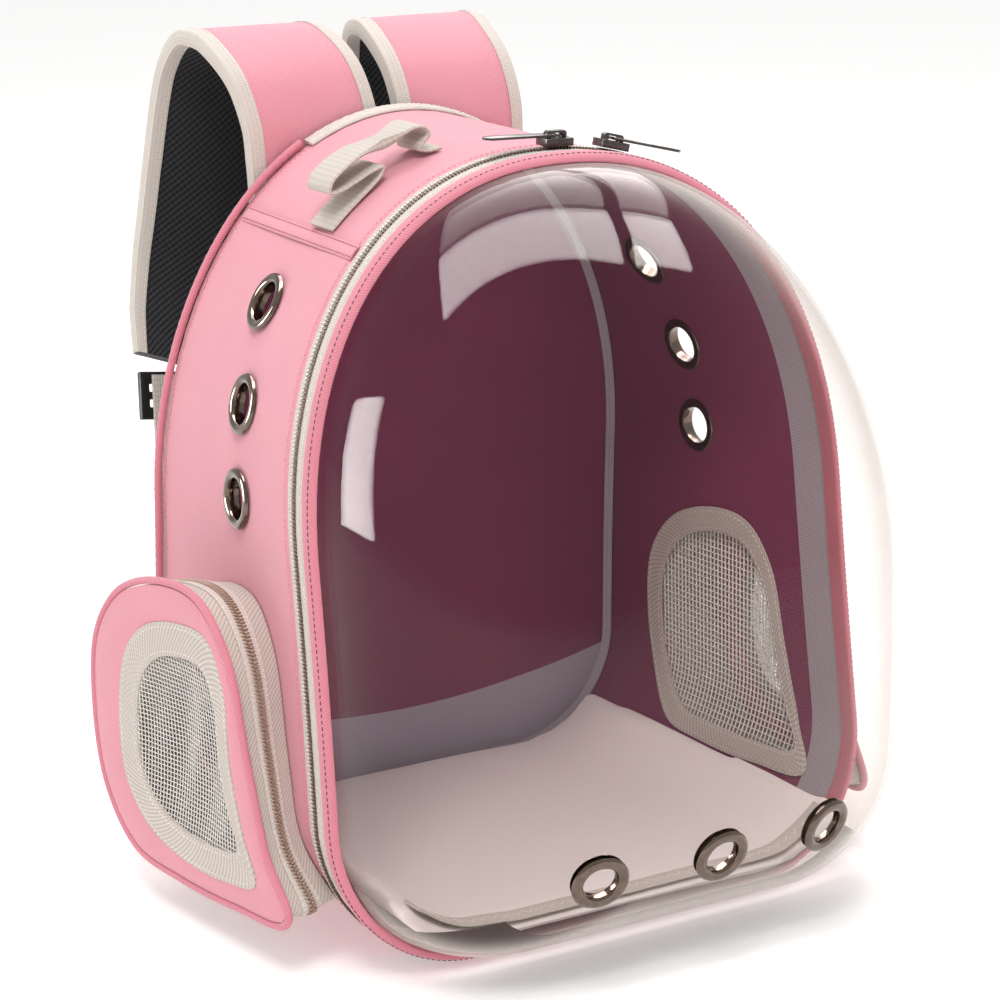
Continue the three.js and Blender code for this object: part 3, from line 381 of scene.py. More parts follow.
def cloth(rows, wrap_u=False, wrap_v=False, caps=False):
    """Rolls a flat grid on to rows of points in mm; its UV map is the cloth's own length and width in metres."""
    rows = np.asarray(rows, float) * MM
    if wrap_u:
        rows = np.concatenate([rows, rows[:, :1]], 1)
    if wrap_v:
        rows = np.concatenate([rows, rows[:1]], 0)
    tall, wide = rows.shape[:2]
    bpy.ops.object.select_all(action="DESELECT")
    bpy.ops.mesh.primitive_grid_add(x_subdivisions=wide - 1, y_subdivisions=tall - 1, size=1, calc_uvs=True)
    obj = bpy.context.object
    mesh = obj.data
    mesh.vertices.foreach_set("co", rows.ravel())
    along = np.linalg.norm(np.diff(rows, axis=1), axis=2)
    across = np.linalg.norm(np.diff(rows, axis=0), axis=2)
    u = np.concatenate([[0], np.cumsum(along.mean(0))])
    v = np.concatenate([[0], np.cumsum(across.mean(1))])
    index = np.empty(len(mesh.loops), int)
    mesh.loops.foreach_get("vertex_index", index)
    uv = np.stack([u[index % wide], v[index // wide]], 1)
    mesh.uv_layers[0].data.foreach_set("uv", uv.ravel())
    mesh.update()
    bpy.ops.object.mode_set(mode="EDIT")
    bpy.ops.mesh.select_all(action="SELECT")
    bpy.ops.mesh.remove_doubles(threshold=2e-6)
    if caps:
        bpy.ops.mesh.select_all(action="DESELECT")
        bpy.ops.mesh.select_non_manifold()
        bpy.ops.mesh.fill_holes(sides=0)
    bpy.ops.object.mode_set(mode="OBJECT")
    if (wrap_u and wrap_v) or caps:
        facing_out(obj)
    return obj


def use(obj, kind, **settings):
    """Adds a modifier and applies it."""
    only(obj)
    made = obj.modifiers.new(kind.lower(), kind)
    for key, value in settings.items():
        setattr(made, key, value)
    bpy.ops.object.modifier_apply(modifier=made.name)
    return obj


def hoop(section, count, start=0.0, end=8.0, ripple=None):
    """A band round the body. Each corner of its closed section is (place, out)."""
    t = around(count, start, end)
    rows = []
    for i, (place, out) in enumerate(section):
        extra = ripple(t, place, i) if ripple else 0.0
        rows.append(body(t, place, out + extra + 0 * t))
    whole = end - start >= 8
    return cloth(rows, wrap_u=whole, wrap_v=True, caps=not whole)


def wall_section(near, far, outer, inner, count):
    """Section of a wall between a distance from the rim and one from the back, with soft edges."""
    shares = np.linspace(0, 1, count)
    top = [((near, far, s), outer) for s in shares]
    low = [((near, far, s), inner) for s in shares[::-1]]
    soft = (outer - inner) * 0.3
    top[0], top[-1] = (top[0][0], outer - soft), (top[-1][0], outer - soft)
    low[0], low[-1] = (low[0][0], inner + soft), (low[-1][0], inner + soft)
    return top + low


def slab_section(width, thick, edge, sides=4, crown=0.0):
    """Rounded flat section: its width along the side vector and its thickness along the face."""
    half, flat = width / 2, thick / 2
    edge = min(edge, flat)
    out = []
    for cx, cy, start in ((half - edge, flat - edge, 0), (edge - half, flat - edge, 90),
                          (edge - half, edge - flat, 180), (half - edge, edge - flat, 270)):
        for k in range(sides + 1):
            a = math.radians(start + 90 * k / sides)
            out.append((cx + edge * math.cos(a), cy + edge * math.sin(a)))
        if start in (0, 180):
            rise = 1 if start == 0 else -1
            for k in range(1, 8):
                x = (half - edge) * (1 - 2 * k / 8) * rise
                out.append((x, rise * (flat + crown * (1 - (x / half) ** 2))))
    return np.array(out)


def tangents(path, closed):
    if closed:
        return unit(np.roll(path, -1, 0) - np.roll(path, 1, 0))
    return unit(np.gradient(path, axis=0))


def sweep(path, side, section, closed=False, scale=None):
    """Carries a section along a path in mm; side is the direction of the section's width at each point."""
    path = np.asarray(path, float)
    along = tangents(path, closed)
    side = np.broadcast_to(np.asarray(side, float), path.shape)
    side = unit(side - along * (side * along).sum(1, keepdims=True))
    face = np.cross(along, side)
    scale = np.ones((len(path), 2)) if scale is None else np.asarray(scale, float)
    rows = [path + side * (a * scale[:, :1]) + face * (b * scale[:, 1:]) for a, b in section]
    return cloth(rows, wrap_u=closed, wrap_v=True, caps=not closed)


def spline(points, count, closed=False):
    """Centripetal curve through points, with count steps for each span."""
    points = np.asarray(points, float)
    n = len(points)
    out = []
    for i in range(n if closed else n - 1):
        if closed:
            p0, p1, p2, p3 = (points[(i + k) % n] for k in (-1, 0, 1, 2))
        else:
            p1, p2 = points[i], points[i + 1]
            p0 = points[i - 1] if i else 2 * p1 - p2
            p3 = points[i + 2] if i + 2 < n else 2 * p2 - p1
        d0, d1, d2 = (max(np.linalg.norm(b - a) ** 0.5, 1e-4) for a, b in ((p0, p1), (p1, p2), (p2, p3)))
        m1 = ((p1 - p0) / d0 - (p2 - p0) / (d0 + d1) + (p2 - p1) / d1) * d1
        m2 = ((p2 - p1) / d1 - (p3 - p1) / (d1 + d2) + (p3 - p2) / d2) * d1
        for k in range(count):
            s = k / count
            out.append(p1 + m1 * s + (3 * (p2 - p1) - 2 * m1 - m2) * s ** 2 + (2 * (p1 - p2) + m1 + m2) * s ** 3)
    if not closed:
        out.append(points[-1])
    return np.array(out)


def spaced(path, pitch, closed=False):
    """Places a pitch apart, measured along a path; also the length to each of its points, and the path itself."""
    loop = np.concatenate([path, path[:1]]) if closed else path
    run = np.concatenate([[0], np.cumsum(np.linalg.norm(np.diff(loop, axis=0), axis=1))])
    count = max(int(run[-1] / pitch), 1)
    marks = (np.arange(count) + 0.5) * run[-1] / count
    return marks, run, loop


def carry(values, run, marks, closed):
    """Values of the path's points, mixed for the places along it."""
    values = np.concatenate([values, values[:1]]) if closed else values
    return np.stack([np.interp(marks, run, values[:, k]) for k in range(3)], 1)


def bead(kind="stitch"):
    """Points and faces of one small shape that is repeated, one unit long, wide and high."""
    bpy.ops.object.select_all(action="DESELECT")
    if kind == "stitch":
        bpy.ops.mesh.primitive_ico_sphere_add(subdivisions=1, radius=0.5)
    else:
        bpy.ops.mesh.primitive_uv_sphere_add(segments=8, ring_count=5, radius=0.5)
    obj = bpy.context.object
    points = np.array([v.co for v in obj.data.vertices])
    faces = [list(p.vertices) for p in obj.data.polygons]
    bpy.data.objects.remove(obj)
    return points, faces


BEADS = {kind: bead(kind) for kind in ("stitch", "tooth")}


def scatter(places, along, up, size, kind="stitch"):
    """Joins many copies of a small shape: centres in mm, directions and (length, width, height)."""
    points, faces = BEADS[kind]
    along = unit(along)
    up = unit(up - along * (up * along).sum(1, keepdims=True))
    across = np.cross(up, along)
    p = points * np.asarray(size, float)
    co = (places[:, None] + p[None, :, :1] * along[:, None] + p[None, :, 1:2] * across[:, None]
          + p[None, :, 2:] * up[:, None]) * MM
    count = len(points)
    every = [[k + i * count for k in f] for i in range(len(places)) for f in faces]
    return meshed("scatter", co.reshape(-1, 3).tolist(), every)


def stitches(path, up, pitch=3.4, length=2.6, width=0.7, closed=False, slant=0.0):
    """A row of sewing stitches on a path, lying on the face whose direction is up."""
    marks, run, _ = spaced(path, pitch, closed)
    up = np.broadcast_to(np.asarray(up, float), path.shape)
    at = carry(path, run, marks, closed)
    normal = unit(carry(up, run, marks, closed))
    along = carry(tangents(path, closed), run, marks, closed)
    if slant:
        turn = np.where(np.arange(len(at)) % 2 == 0, slant, -slant)[:, None]
        along = unit(along) + np.cross(normal, unit(along)) * turn
    return scatter(at, along, normal, (length, width, width))


def joined(parts):
    bpy.ops.object.select_all(action="DESELECT")
    for one in parts:
        one.select_set(True)
    bpy.context.view_layer.objects.active = parts[0]
    bpy.ops.object.join()
    return bpy.context.object


def softened(node_name, bevel=0.0):
    """A welded copy of a CAD node, with its edges rounded."""
    copy = placed("copy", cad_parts[node_name].data.copy())
    only(copy)
    bpy.ops.object.mode_set(mode="EDIT")
    bpy.ops.mesh.select_all(action="SELECT")
    bpy.ops.mesh.remove_doubles(threshold=0.01 * MM)
    bpy.ops.mesh.dissolve_limited(angle_limit=math.radians(2))
    bpy.ops.object.mode_set(mode="OBJECT")
    if bevel:
        use(copy, "BEVEL", width=bevel * MM, segments=2, limit_method="ANGLE", angle_limit=math.radians(35))
    return copy


def cut(obj, cutters):
    """Cuts holes with closed cutters, which are then removed."""
    tool = joined(cutters) if len(cutters) > 1 else cutters[0]
    only(obj)
    made = obj.modifiers.new("cut", "BOOLEAN")
    made.operation, made.solver, made.object = "DIFFERENCE", "EXACT", tool
    bpy.ops.object.modifier_apply(modifier=made.name)
    bpy.data.objects.remove(tool)
    return obj


def basis(point, normal):
    """Matrix that turns +Z to a normal at a point in mm."""
    turn = Vector((0, 0, 1)).rotation_difference(Vector(normal)).to_matrix().to_4x4()
    return Matrix.Translation(Vector(point) * MM) @ turn


def drill(point, normal, radius):
    bpy.ops.object.select_all(action="DESELECT")
    bpy.ops.mesh.primitive_cylinder_add(vertices=32, radius=radius * MM, depth=0.03)
    tool = bpy.context.object
    tool.data.transform(basis(point, normal))
    return tool


# Shell, lining and seams
FINE = np.linspace(0, 8, 8001)
FINE_X, FINE_Z = arch_point(FRONT, FINE)
FINE_RUN = np.concatenate([[0], np.cumsum(np.hypot(np.diff(FINE_X), np.diff(FINE_Z)))])


def run_of(t):
    """Length round the body to an outline place, in mm."""
    return np.interp(np.mod(t, 8), FINE, FINE_RUN)


def puckered(t, place, _):
    """Cloth drawn in along its sewn edges, and slack between them."""
    share, run = place[2], run_of(t)
    edges = math.exp(-share * 12) + math.exp(-(1 - share) * 12)
    wave = np.sin(run * 0.42 + 1.3 * np.sin(run * 0.031)) * (0.6 + 0.4 * np.sin(run * 0.087))
    slack = np.sin(run * 0.019 + 5 * share) + 0.6 * np.sin(run * 0.043 - 7 * share)
    return 0.28 * edges * wave + 0.45 * math.sin(PI * share) * slack - 0.5 * math.sin(PI * share)


HOLE_RADIUS, BARREL_RADIUS = 12.9, 12.3
EYELET_SPOTS = [(18, 320.6), (6.3, 271.8), (1.6, 224.1)]
SIDE_EYELETS = {}
for side, label, shift in ((-1, "left", (0, 0)), (1, "right", (22, -5))):
    for number, (y, z) in enumerate(EYELET_SPOTS):
        spot, normal = side_wall(side, y + shift[0], z + shift[1])
        SIDE_EYELETS[f"eyelet_{label}_{number + 1}"] = (spot - normal * 2.0, normal)

POCKET_D = [(0, .05), (.25, .01), (.55, 0), (.8, .03), (.95, .2), (1, .48), (.97, .72), (.83, .9), (.58, .99),
            (.4, .97), (.27, .82), (.19, .52), (.1, .22)]
WINDOW_D = [(.145, .125), (.28, .085), (.51, .08), (.71, .14), (.82, .27), (.84, .52), (.79, .71), (.68, .82),
            (.49, .875), (.35, .86), (.275, .72), (.255, .48), (.2, .27)]


def d_loop(shape, count=12):
    flat = [(POCKET["front"] + a * POCKET["width"], POCKET["bottom"] + b * POCKET["height"], 0) for a, b in shape]
    return spline(flat, count, closed=True)[:, :2]


def centre_of(loop):
    marks, run, ring = spaced(np.column_stack([loop, 0 * loop[:, 0]]), 4.0, True)
    return carry(ring[:-1], run, marks, True)[:, :2].mean(0)


def shrunk(loop, share, centre):
    return centre + (loop - centre) * share


def loop_normals(loop):
    step = np.roll(loop, -1, 0) - np.roll(loop, 1, 0)
    normal = unit(np.stack([step[:, 1], -step[:, 0]], 1))
    area = (loop[:, 0] * np.roll(loop[:, 1], -1) - np.roll(loop[:, 0], -1) * loop[:, 1]).sum()
    return normal if area > 0 else -normal


POCKET_LOOP, WINDOW_LOOP = d_loop(POCKET_D), d_loop(WINDOW_D)
POCKET_MID, WINDOW_MID = centre_of(POCKET_LOOP), centre_of(WINDOW_LOOP)


def prism(loop, side):
    """A closed cutter with a loop's outline, through one side wall."""
    rows = [np.column_stack([np.full(len(loop), side * x), loop]) for x in (FRONT["half"] - 70, FRONT["half"] + 20)]
    return cloth(rows, wrap_u=True, caps=True)


def wall_cutters():
    holes = [drill(spot, normal, HOLE_RADIUS) for spot, normal in SIDE_EYELETS.values()]
    window = shrunk(POCKET_LOOP, 0.8, POCKET_MID)
    return holes + [prism(window, side) for side in (-1, 1)]


shell = hoop(wall_section(SHELL_START, 0, 0, -SHELL_WALL, 26), 300, ripple=puckered)
cut(shell, wall_cutters())
settle(shell, "shell_cloth", PINK_TWILL, "pack", ["body_shell"])

lining = hoop(wall_section(SHELL_START + 6, 8.9, LINING_OUT, LINING_IN, 22), 260,
              ripple=lambda t, place, i: 0.25 * puckered(t, place, i) + 0.1)
cut(lining, wall_cutters())
settle(lining, "wall_lining_cloth", PLUM_LINING, "pack", ["wall_lining"])

bpy.ops.object.select_all(action="DESELECT")
bpy.ops.mesh.primitive_cube_add(size=1)
sole = bpy.context.object
low_y, high_y = rim_y(0) + SHELL_START + 6, back_y(0) - 8
sole.data.transform(Matrix.Translation(Vector((0, (low_y + high_y) / 2, 2.05)) * MM)
                    @ Matrix.Diagonal((0.1704, (high_y - low_y) * MM, 0.0041, 1)))
only(sole)
bpy.ops.object.mode_set(mode="EDIT")
bpy.ops.mesh.select_all(action="SELECT")
bpy.ops.mesh.subdivide(number_cuts=8)
bpy.ops.object.mode_set(mode="OBJECT")
use(sole, "BEVEL", width=1.4 * MM, segments=3, limit_method="ANGLE", angle_limit=math.radians(40))
settle(sole, "sole_board", SOLE_CLOTH, "pack")


def rounded(points, count=3):
    """A closed section of (station, out) points, rounded through its corners."""
    flat = [(a, b, 0) for a, b in points]
    return spline(flat, count, closed=True)[:, :2]


def rear_tube(start, end, name, node_name):
    section = [(back(1.6 + 2.2 * math.cos(a)), 2.2 * math.sin(a) + 2.2 + 2.5 * CLEAR)
               for a in np.arange(12) / 12 * 2 * PI]
    tube = hoop(section, 170, start, end, lambda t, place, i: 0.12 * np.sin(run_of(t) * 1.1))
    settle(tube, name, PINK_PIPING, "pack", [node_name], 60)
    t = around(400, start, end)
    seam = stitches(body(t, back(6.2), 0.35), body(t, back(6.2), 1.3) - body(t, back(6.2), 0.35), 3.6, 2.7, 0.6)
    settle(seam, name + "_stitches", THREAD_PINK, "pack")


rear_tube(4.262, 6.7, "rear_piping_left_cord", "rear_piping_left")
rear_tube(1.3, 3.738, "rear_piping_right_cord", "rear_piping_right")

band = hoop([(back(9), 0.35), (back(9), 1.2), (back(8.2), 1.7), (back(5), 2.3), (back(2.5), 2.6), (back(0), 2.6),
             (back(-1.6), 2.3), (back(-2), 1.6), (back(-2), 0.35)], 150, 3.75, 4.25,
            lambda t, place, i: 0.1 * np.sin(run_of(t) * 0.9) if 0 < i < 8 else 0.0)
settle(band, "top_seam_tape", BEIGE_TAPE, "pack", ["top_seam_binding"], 60)
t = around(400, 3.76, 4.24)
rows = []
for station in (7.6, 1.0):
    lift = 1.95 if station > 5 else 2.65
    up = body(t, back(station), 5) - body(t, back(station), 2)
    rows.append(stitches(body(t, back(station), lift), up, 3.2, 2.4, 0.6))
settle(joined(rows), "top_seam_stitches", THREAD_BEIGE, "pack")

# The side panels lap over the top one, sewn down with two rows of stitches
for sign, label in ((1, "right"), (-1, "left")):
    depth = np.linspace(0, 1, 90)

    def lapped(drop, out):
        turn = 3.562 - drop / 267
        place = np.full(90, turn if sign > 0 else 8 - turn)
        return body(place, (SHELL_START + 1.5, 7.5, depth), out)

    pucker = 0.12 * np.sin(depth * 330)
    lap = [lapped(9 * s, 0.4 + (0.8 + pucker) * math.sin(PI * s) ** 0.5) for s in np.linspace(0, 1, 9)]
    lap += [lapped(9 * s, 0.2) for s in np.linspace(1, 0, 5)]
    seam = cloth(lap, wrap_v=True, caps=True)
    settle(seam, f"shoulder_seam_{label}", PINK_TWILL, "pack", angle=60)
    rows = [stitches(lapped(drop, 1.2), lapped(drop, 3) - lapped(drop, 1), 3.2, 2.4, 0.75) for drop in (1.4, 7.6)]
    settle(joined(rows), f"shoulder_seam_stitches_{label}", THREAD_ROSE, "pack")

corner = rounded([(9.9, -4.45), (9.9, -8.6), (11.0, -7.2), (12.6, -5.6), (12.9, -4.45)], 3)
settle(hoop([(back(a), b) for a, b in corner], 240), "corner_tape", GREY_TAPE, "pack", ["corner_binding"],
       50)

# Main zipper, the ring before it and the tape inside the rim
tape = [(9.6, -1.35), (9.6, -0.3), (10.1, 0.0), (13, 0.15), (16.4, 0.1), (17.0, -0.35), (19.7, -0.4), (22.4, -0.35),
        (23.0, 0.1), (25, 0.15), (26.7, 0.0), (27.1, -0.3), (27.1, -1.35), (18.3, -1.4)]
settle(hoop([(rim(a), b) for a, b in tape], 300, ripple=lambda t, place, i: 0.06 * np.sin(run_of(t) * 0.7)),
       "zip_tape", BEIGE_TAPE, "pack", ["main_zipper"], 50)


COIL_PITCH = 2.0


def coil_row(station, phase, material, name):
    """One row of the main zipper's coil; the second row lies half a pitch on."""
    count = int(FINE_RUN[-1] / COIL_PITCH)
    t = around(count)
    t = t + phase * (8 / count) * 0.5
    at = body(t, rim(station), 0.55)
    along = body(t, rim(station + 1), 0.55) - at
    run = tangents(at, True)
    up = np.cross(along, run)
    up = up * np.sign((up * (body(t, rim(station), 2) - at)).sum(1, keepdims=True))
    row = scatter(at, unit(along) + 0.22 * (1 if phase else -1) * run, up, (3.3, 1.35, 1.7), "tooth")
    settle(row, name, material, "pack", angle=60)


coil_row(18.35, 0, COIL_BROWN, "zip_coil_front")
coil_row(21.05, 1, COIL_CREAM, "zip_coil_rear")

t = around(700)
up = body(t, rim(14), 3) - body(t, rim(14), 0)
edge_rows = [stitches(body(t, rim(s), 0.3), up, 3.0, 2.3, 0.55, True) for s in (11.6, 25.4)]
settle(joined(edge_rows), "zip_tape_stitches", THREAD_BEIGE, "pack")
seam = stitches(body(t, rim(31.0), 0.45), up, 3.3, 2.5, 0.6, True)
settle(seam, "shell_front_stitches", THREAD_PINK, "pack")

ring = rounded([(-1.4, -3.4), (-1.3, -1.6), (0.4, 0.2), (2.6, 1.0), (5.0, 1.25), (7.4, 0.95), (8.9, 0.0), (9.15, -1.8),
                (9.1, -3.8), (5, -3.95), (0.6, -3.95)], 3)
settle(hoop([(rim(a), b) for a, b in ring], 300, ripple=lambda t, place, i: 0.07 * np.sin(run_of(t) * 0.9 + i)),
       "front_ring_piping", PINK_PIPING, "pack", ["front_ring"], 60)
settle(stitches(body(t, rim(1.0), 0.62), body(t, rim(-1), 3) - body(t, rim(1), 0), 3.2, 2.5, 0.65, True),
       "front_ring_stitches", THREAD_PLUM, "pack")

inner = rounded([(9.7, -2.35), (18, -2.35), (27.1, -2.35), (32.8, -3.0), (33.0, -3.9), (27, -3.6), (18, -3.5),
                 (9.7, -3.45)], 2)
settle(hoop([(rim(a), b) for a, b in inner], 240), "rim_tape", GREY_TAPE, "pack", ["rim_binding"], 50)


# Bubble
def bubble(x, z, share, inset):
    climb = np.clip((z - BUBBLE["centre"]) / (FRONT["height"] - BUBBLE["centre"]), 0, 1)
    climb = climb * climb * (3 - 2 * climb)
    square = BUBBLE["boxy"] + (BUBBLE["round"] - BUBBLE["boxy"]) * climb
    tilt = BUBBLE["low"] + (BUBBLE["high"] - BUBBLE["low"]) * climb
    swell = np.clip(1 - share ** square, 0, 1) ** (1 / square)
    reach = (BUBBLE["reach"] - inset + tilt * (z - BUBBLE["centre"])) * swell
    return np.stack([x, rim_y(z) - reach, z + BUBBLE["rise"] * (1 - z / FRONT["height"]) * swell], -1)


def bubble_ring(t, share, inset):
    edge = body(t, rim(0), -RING_INSET - CLEAR - inset)
    return bubble(edge[:, 0] * share, BUBBLE["centre"] + (edge[:, 2] - BUBBLE["centre"]) * share, share + 0 * t, inset)


def bubble_spot(x, z):
    """A point of the bubble and its normal, by x and the height before its floor rises."""
    def on(a, b):
        wanted = abs(math.atan2(a, BUBBLE["centre"] - b))

        def bearing(place):
            edge = body(place, rim(0), -RING_INSET - CLEAR)
            return np.arctan2(edge[..., 0], BUBBLE["centre"] - edge[..., 2])

        edge = body(find(bearing, 0.001, 3.999, np.array(wanted)), rim(0), -RING_INSET - CLEAR)
        share = math.hypot(a, b - BUBBLE["centre"]) / math.hypot(edge[0], edge[2] - BUBBLE["centre"])
        return bubble(np.array(a), np.array(b), np.array(share), 0)

    normal = unit(np.cross(on(x + 1, z) - on(x - 1, z), on(x, z + 1) - on(x, z - 1)))
    normal = -normal if normal[1] > 0 else normal
    return on(x, z) - normal * BUBBLE["wall"] / 2, normal


BUBBLE_EYELETS = {f"bubble_eyelet_{i + 1}": bubble_spot(x, 57) for i, x in enumerate((-63.5, 4.5, 72.5))}

t = around(260)
shares = np.sin(np.linspace(0, 1, 56) * PI / 2)
rows = [bubble_ring(t, s, 0) for s in shares]
rows += [body(t, rim(a), -RING_INSET - CLEAR) for a in (3.5, 7)]
rows += [body(t, rim(a), -RING_INSET - CLEAR - BUBBLE["wall"]) for a in (7, 3.5)]
rows += [bubble_ring(t, s, BUBBLE["wall"]) for s in shares[::-1]]
dome = cloth(rows, wrap_u=True)
facing_out(dome)
cut(dome, [drill(spot, normal, HOLE_RADIUS) for spot, normal in BUBBLE_EYELETS.values()])
settle(dome, "bubble_sheet", CLEAR_SHEET, "pack", ["bubble_dome"], 60)


# A dark taupe sheet on the bubble's floor before the mat: painted shade for the shadow that falls there
t = np.linspace(6.5, 9.5, 120)
low_share, high_share = 0.77, find(lambda s: bubble_ring(t, s, 3)[:, 1], 0.8, 0.999, np.full(120, -142.0))
rows = [bubble_ring(t, low_share + (high_share - low_share) * k, BUBBLE["wall"] + 0.3) for k in np.linspace(0, 1, 12)]
rows += [bubble_ring(t, low_share + (high_share - low_share) * k, BUBBLE["wall"] + 1.1) for k in np.linspace(1, 0, 12)]
under = cloth(rows, wrap_v=True, caps=True)
settle(under, "bubble_floor_painted_shade", FLOOR_PAINTED_SHADE, "pack", angle=60)


# Eyelets
def eyelet(spot, normal, wall, seat, hole, reach):
    """A stamped ring, domed outside, with its barrel through the wall and a washer inside."""
    face = wall / 2 + seat
    steps = np.linspace(0, 1, 11)
    arc = [(hole + (reach - hole) * s, face + 0.1 + 1.9 * math.sqrt(1 - (2 * s - 1) ** 2)) for s in steps]
    washer = [(hole + (reach - 0.6 - hole) * s, -face - 0.1 - 0.9 * math.sqrt(1 - (2 * s - 1) ** 2)) for s in steps]
    barrel = [(BARREL_RADIUS, face - 0.2), (BARREL_RADIUS, 0.2 - face)]
    profile = arc + [(reach - 0.1, face - 0.2)] + barrel + [(reach - 0.7, 0.2 - face)] + washer[::-1]
    bpy.ops.object.select_all(action="DESELECT")
    bpy.ops.mesh.primitive_circle_add(vertices=len(profile), radius=0.01)
    obj = bpy.context.object
    obj.data.vertices.foreach_set("co", np.array([(r * MM, 0, h * MM) for r, h in profile]).ravel())
    only(obj)
    bpy.ops.object.mode_set(mode="EDIT")
    bpy.ops.mesh.select_all(action="SELECT")
    bpy.ops.mesh.spin(steps=48, angle=2 * PI, center=(0, 0, 0), axis=(0, 0, 1))
    bpy.ops.mesh.select_all(action="SELECT")
    bpy.ops.mesh.remove_doubles(threshold=5e-6)
    bpy.ops.object.mode_set(mode="OBJECT")
    facing_out(obj)
    obj.data.transform(basis(spot, normal))
    return obj


for name, (spot, normal) in SIDE_EYELETS.items():
    settle(eyelet(spot, normal, 4.0, 0.5, 10.4, 16), name + "_ring", EYELET_METAL, "pack", [name])
for name, (spot, normal) in BUBBLE_EYELETS.items():
    settle(eyelet(spot, normal, 2.0, 0.7, 8.9, 15), name + "_ring", EYELET_METAL, "pack", [name])


# Side pockets, each with its net window
def on_panel(side, loop, depth):
    stand = POCKET["near"] + (POCKET["far"] - POCKET["near"]) * (loop[:, 0] - POCKET["front"]) / POCKET["width"]
    return np.column_stack([side * (FRONT["half"] + stand + depth), loop[:, 0], loop[:, 1]])


def net(loop, cell, place, cord):
    """A net cut to a flat loop, its cells `cell` mm wide, laid by a function of (y, z) in mm."""
    low, high = loop.min(0), loop.max(0)
    count = np.ceil((high - low) / cell).astype(int)
    lines = [low[k] + (high[k] - low[k]) * np.arange(count[k] + 1) / count[k] for k in (0, 1)]
    flat = np.stack(np.meshgrid(*lines), -1).reshape(-1, 2)
    a, b = loop, np.roll(loop, -1, 0)
    crosses = (a[None, :, 1] > flat[:, None, 1]) != (b[None, :, 1] > flat[:, None, 1])
    meet = (b[:, 0] - a[:, 0]) * (flat[:, None, 1] - a[:, 1]) / (b[:, 1] - a[:, 1] + 1e-9) + a[:, 0]
    inside = ((crosses & (flat[:, None, 0] < meet)).sum(1) % 2 == 1).reshape(count[1] + 1, count[0] + 1)
    index = np.arange(len(flat)).reshape(inside.shape)
    whole = inside[:-1, :-1] & inside[1:, :-1] & inside[:-1, 1:] & inside[1:, 1:]
    cells = np.stack([index[:-1, :-1], index[:-1, 1:], index[1:, 1:], index[1:, :-1]], -1)[whole]
    used, cells = np.unique(cells, return_inverse=True)
    obj = meshed("net", (place(flat[used]) * MM).tolist(), cells.reshape(-1, 4).tolist())
    return use(obj, "WIREFRAME", thickness=cord * MM, use_even_offset=False, use_boundary=True, offset=0)


def straight_weave(obj):
    """Lays the weave straight across a side panel, in its own plane."""
    mesh = obj.data
    for loop in mesh.loops:
        co = mesh.vertices[loop.vertex_index].co
        mesh.uv_layers[0].data[loop.index].uv = (co.y, co.z)


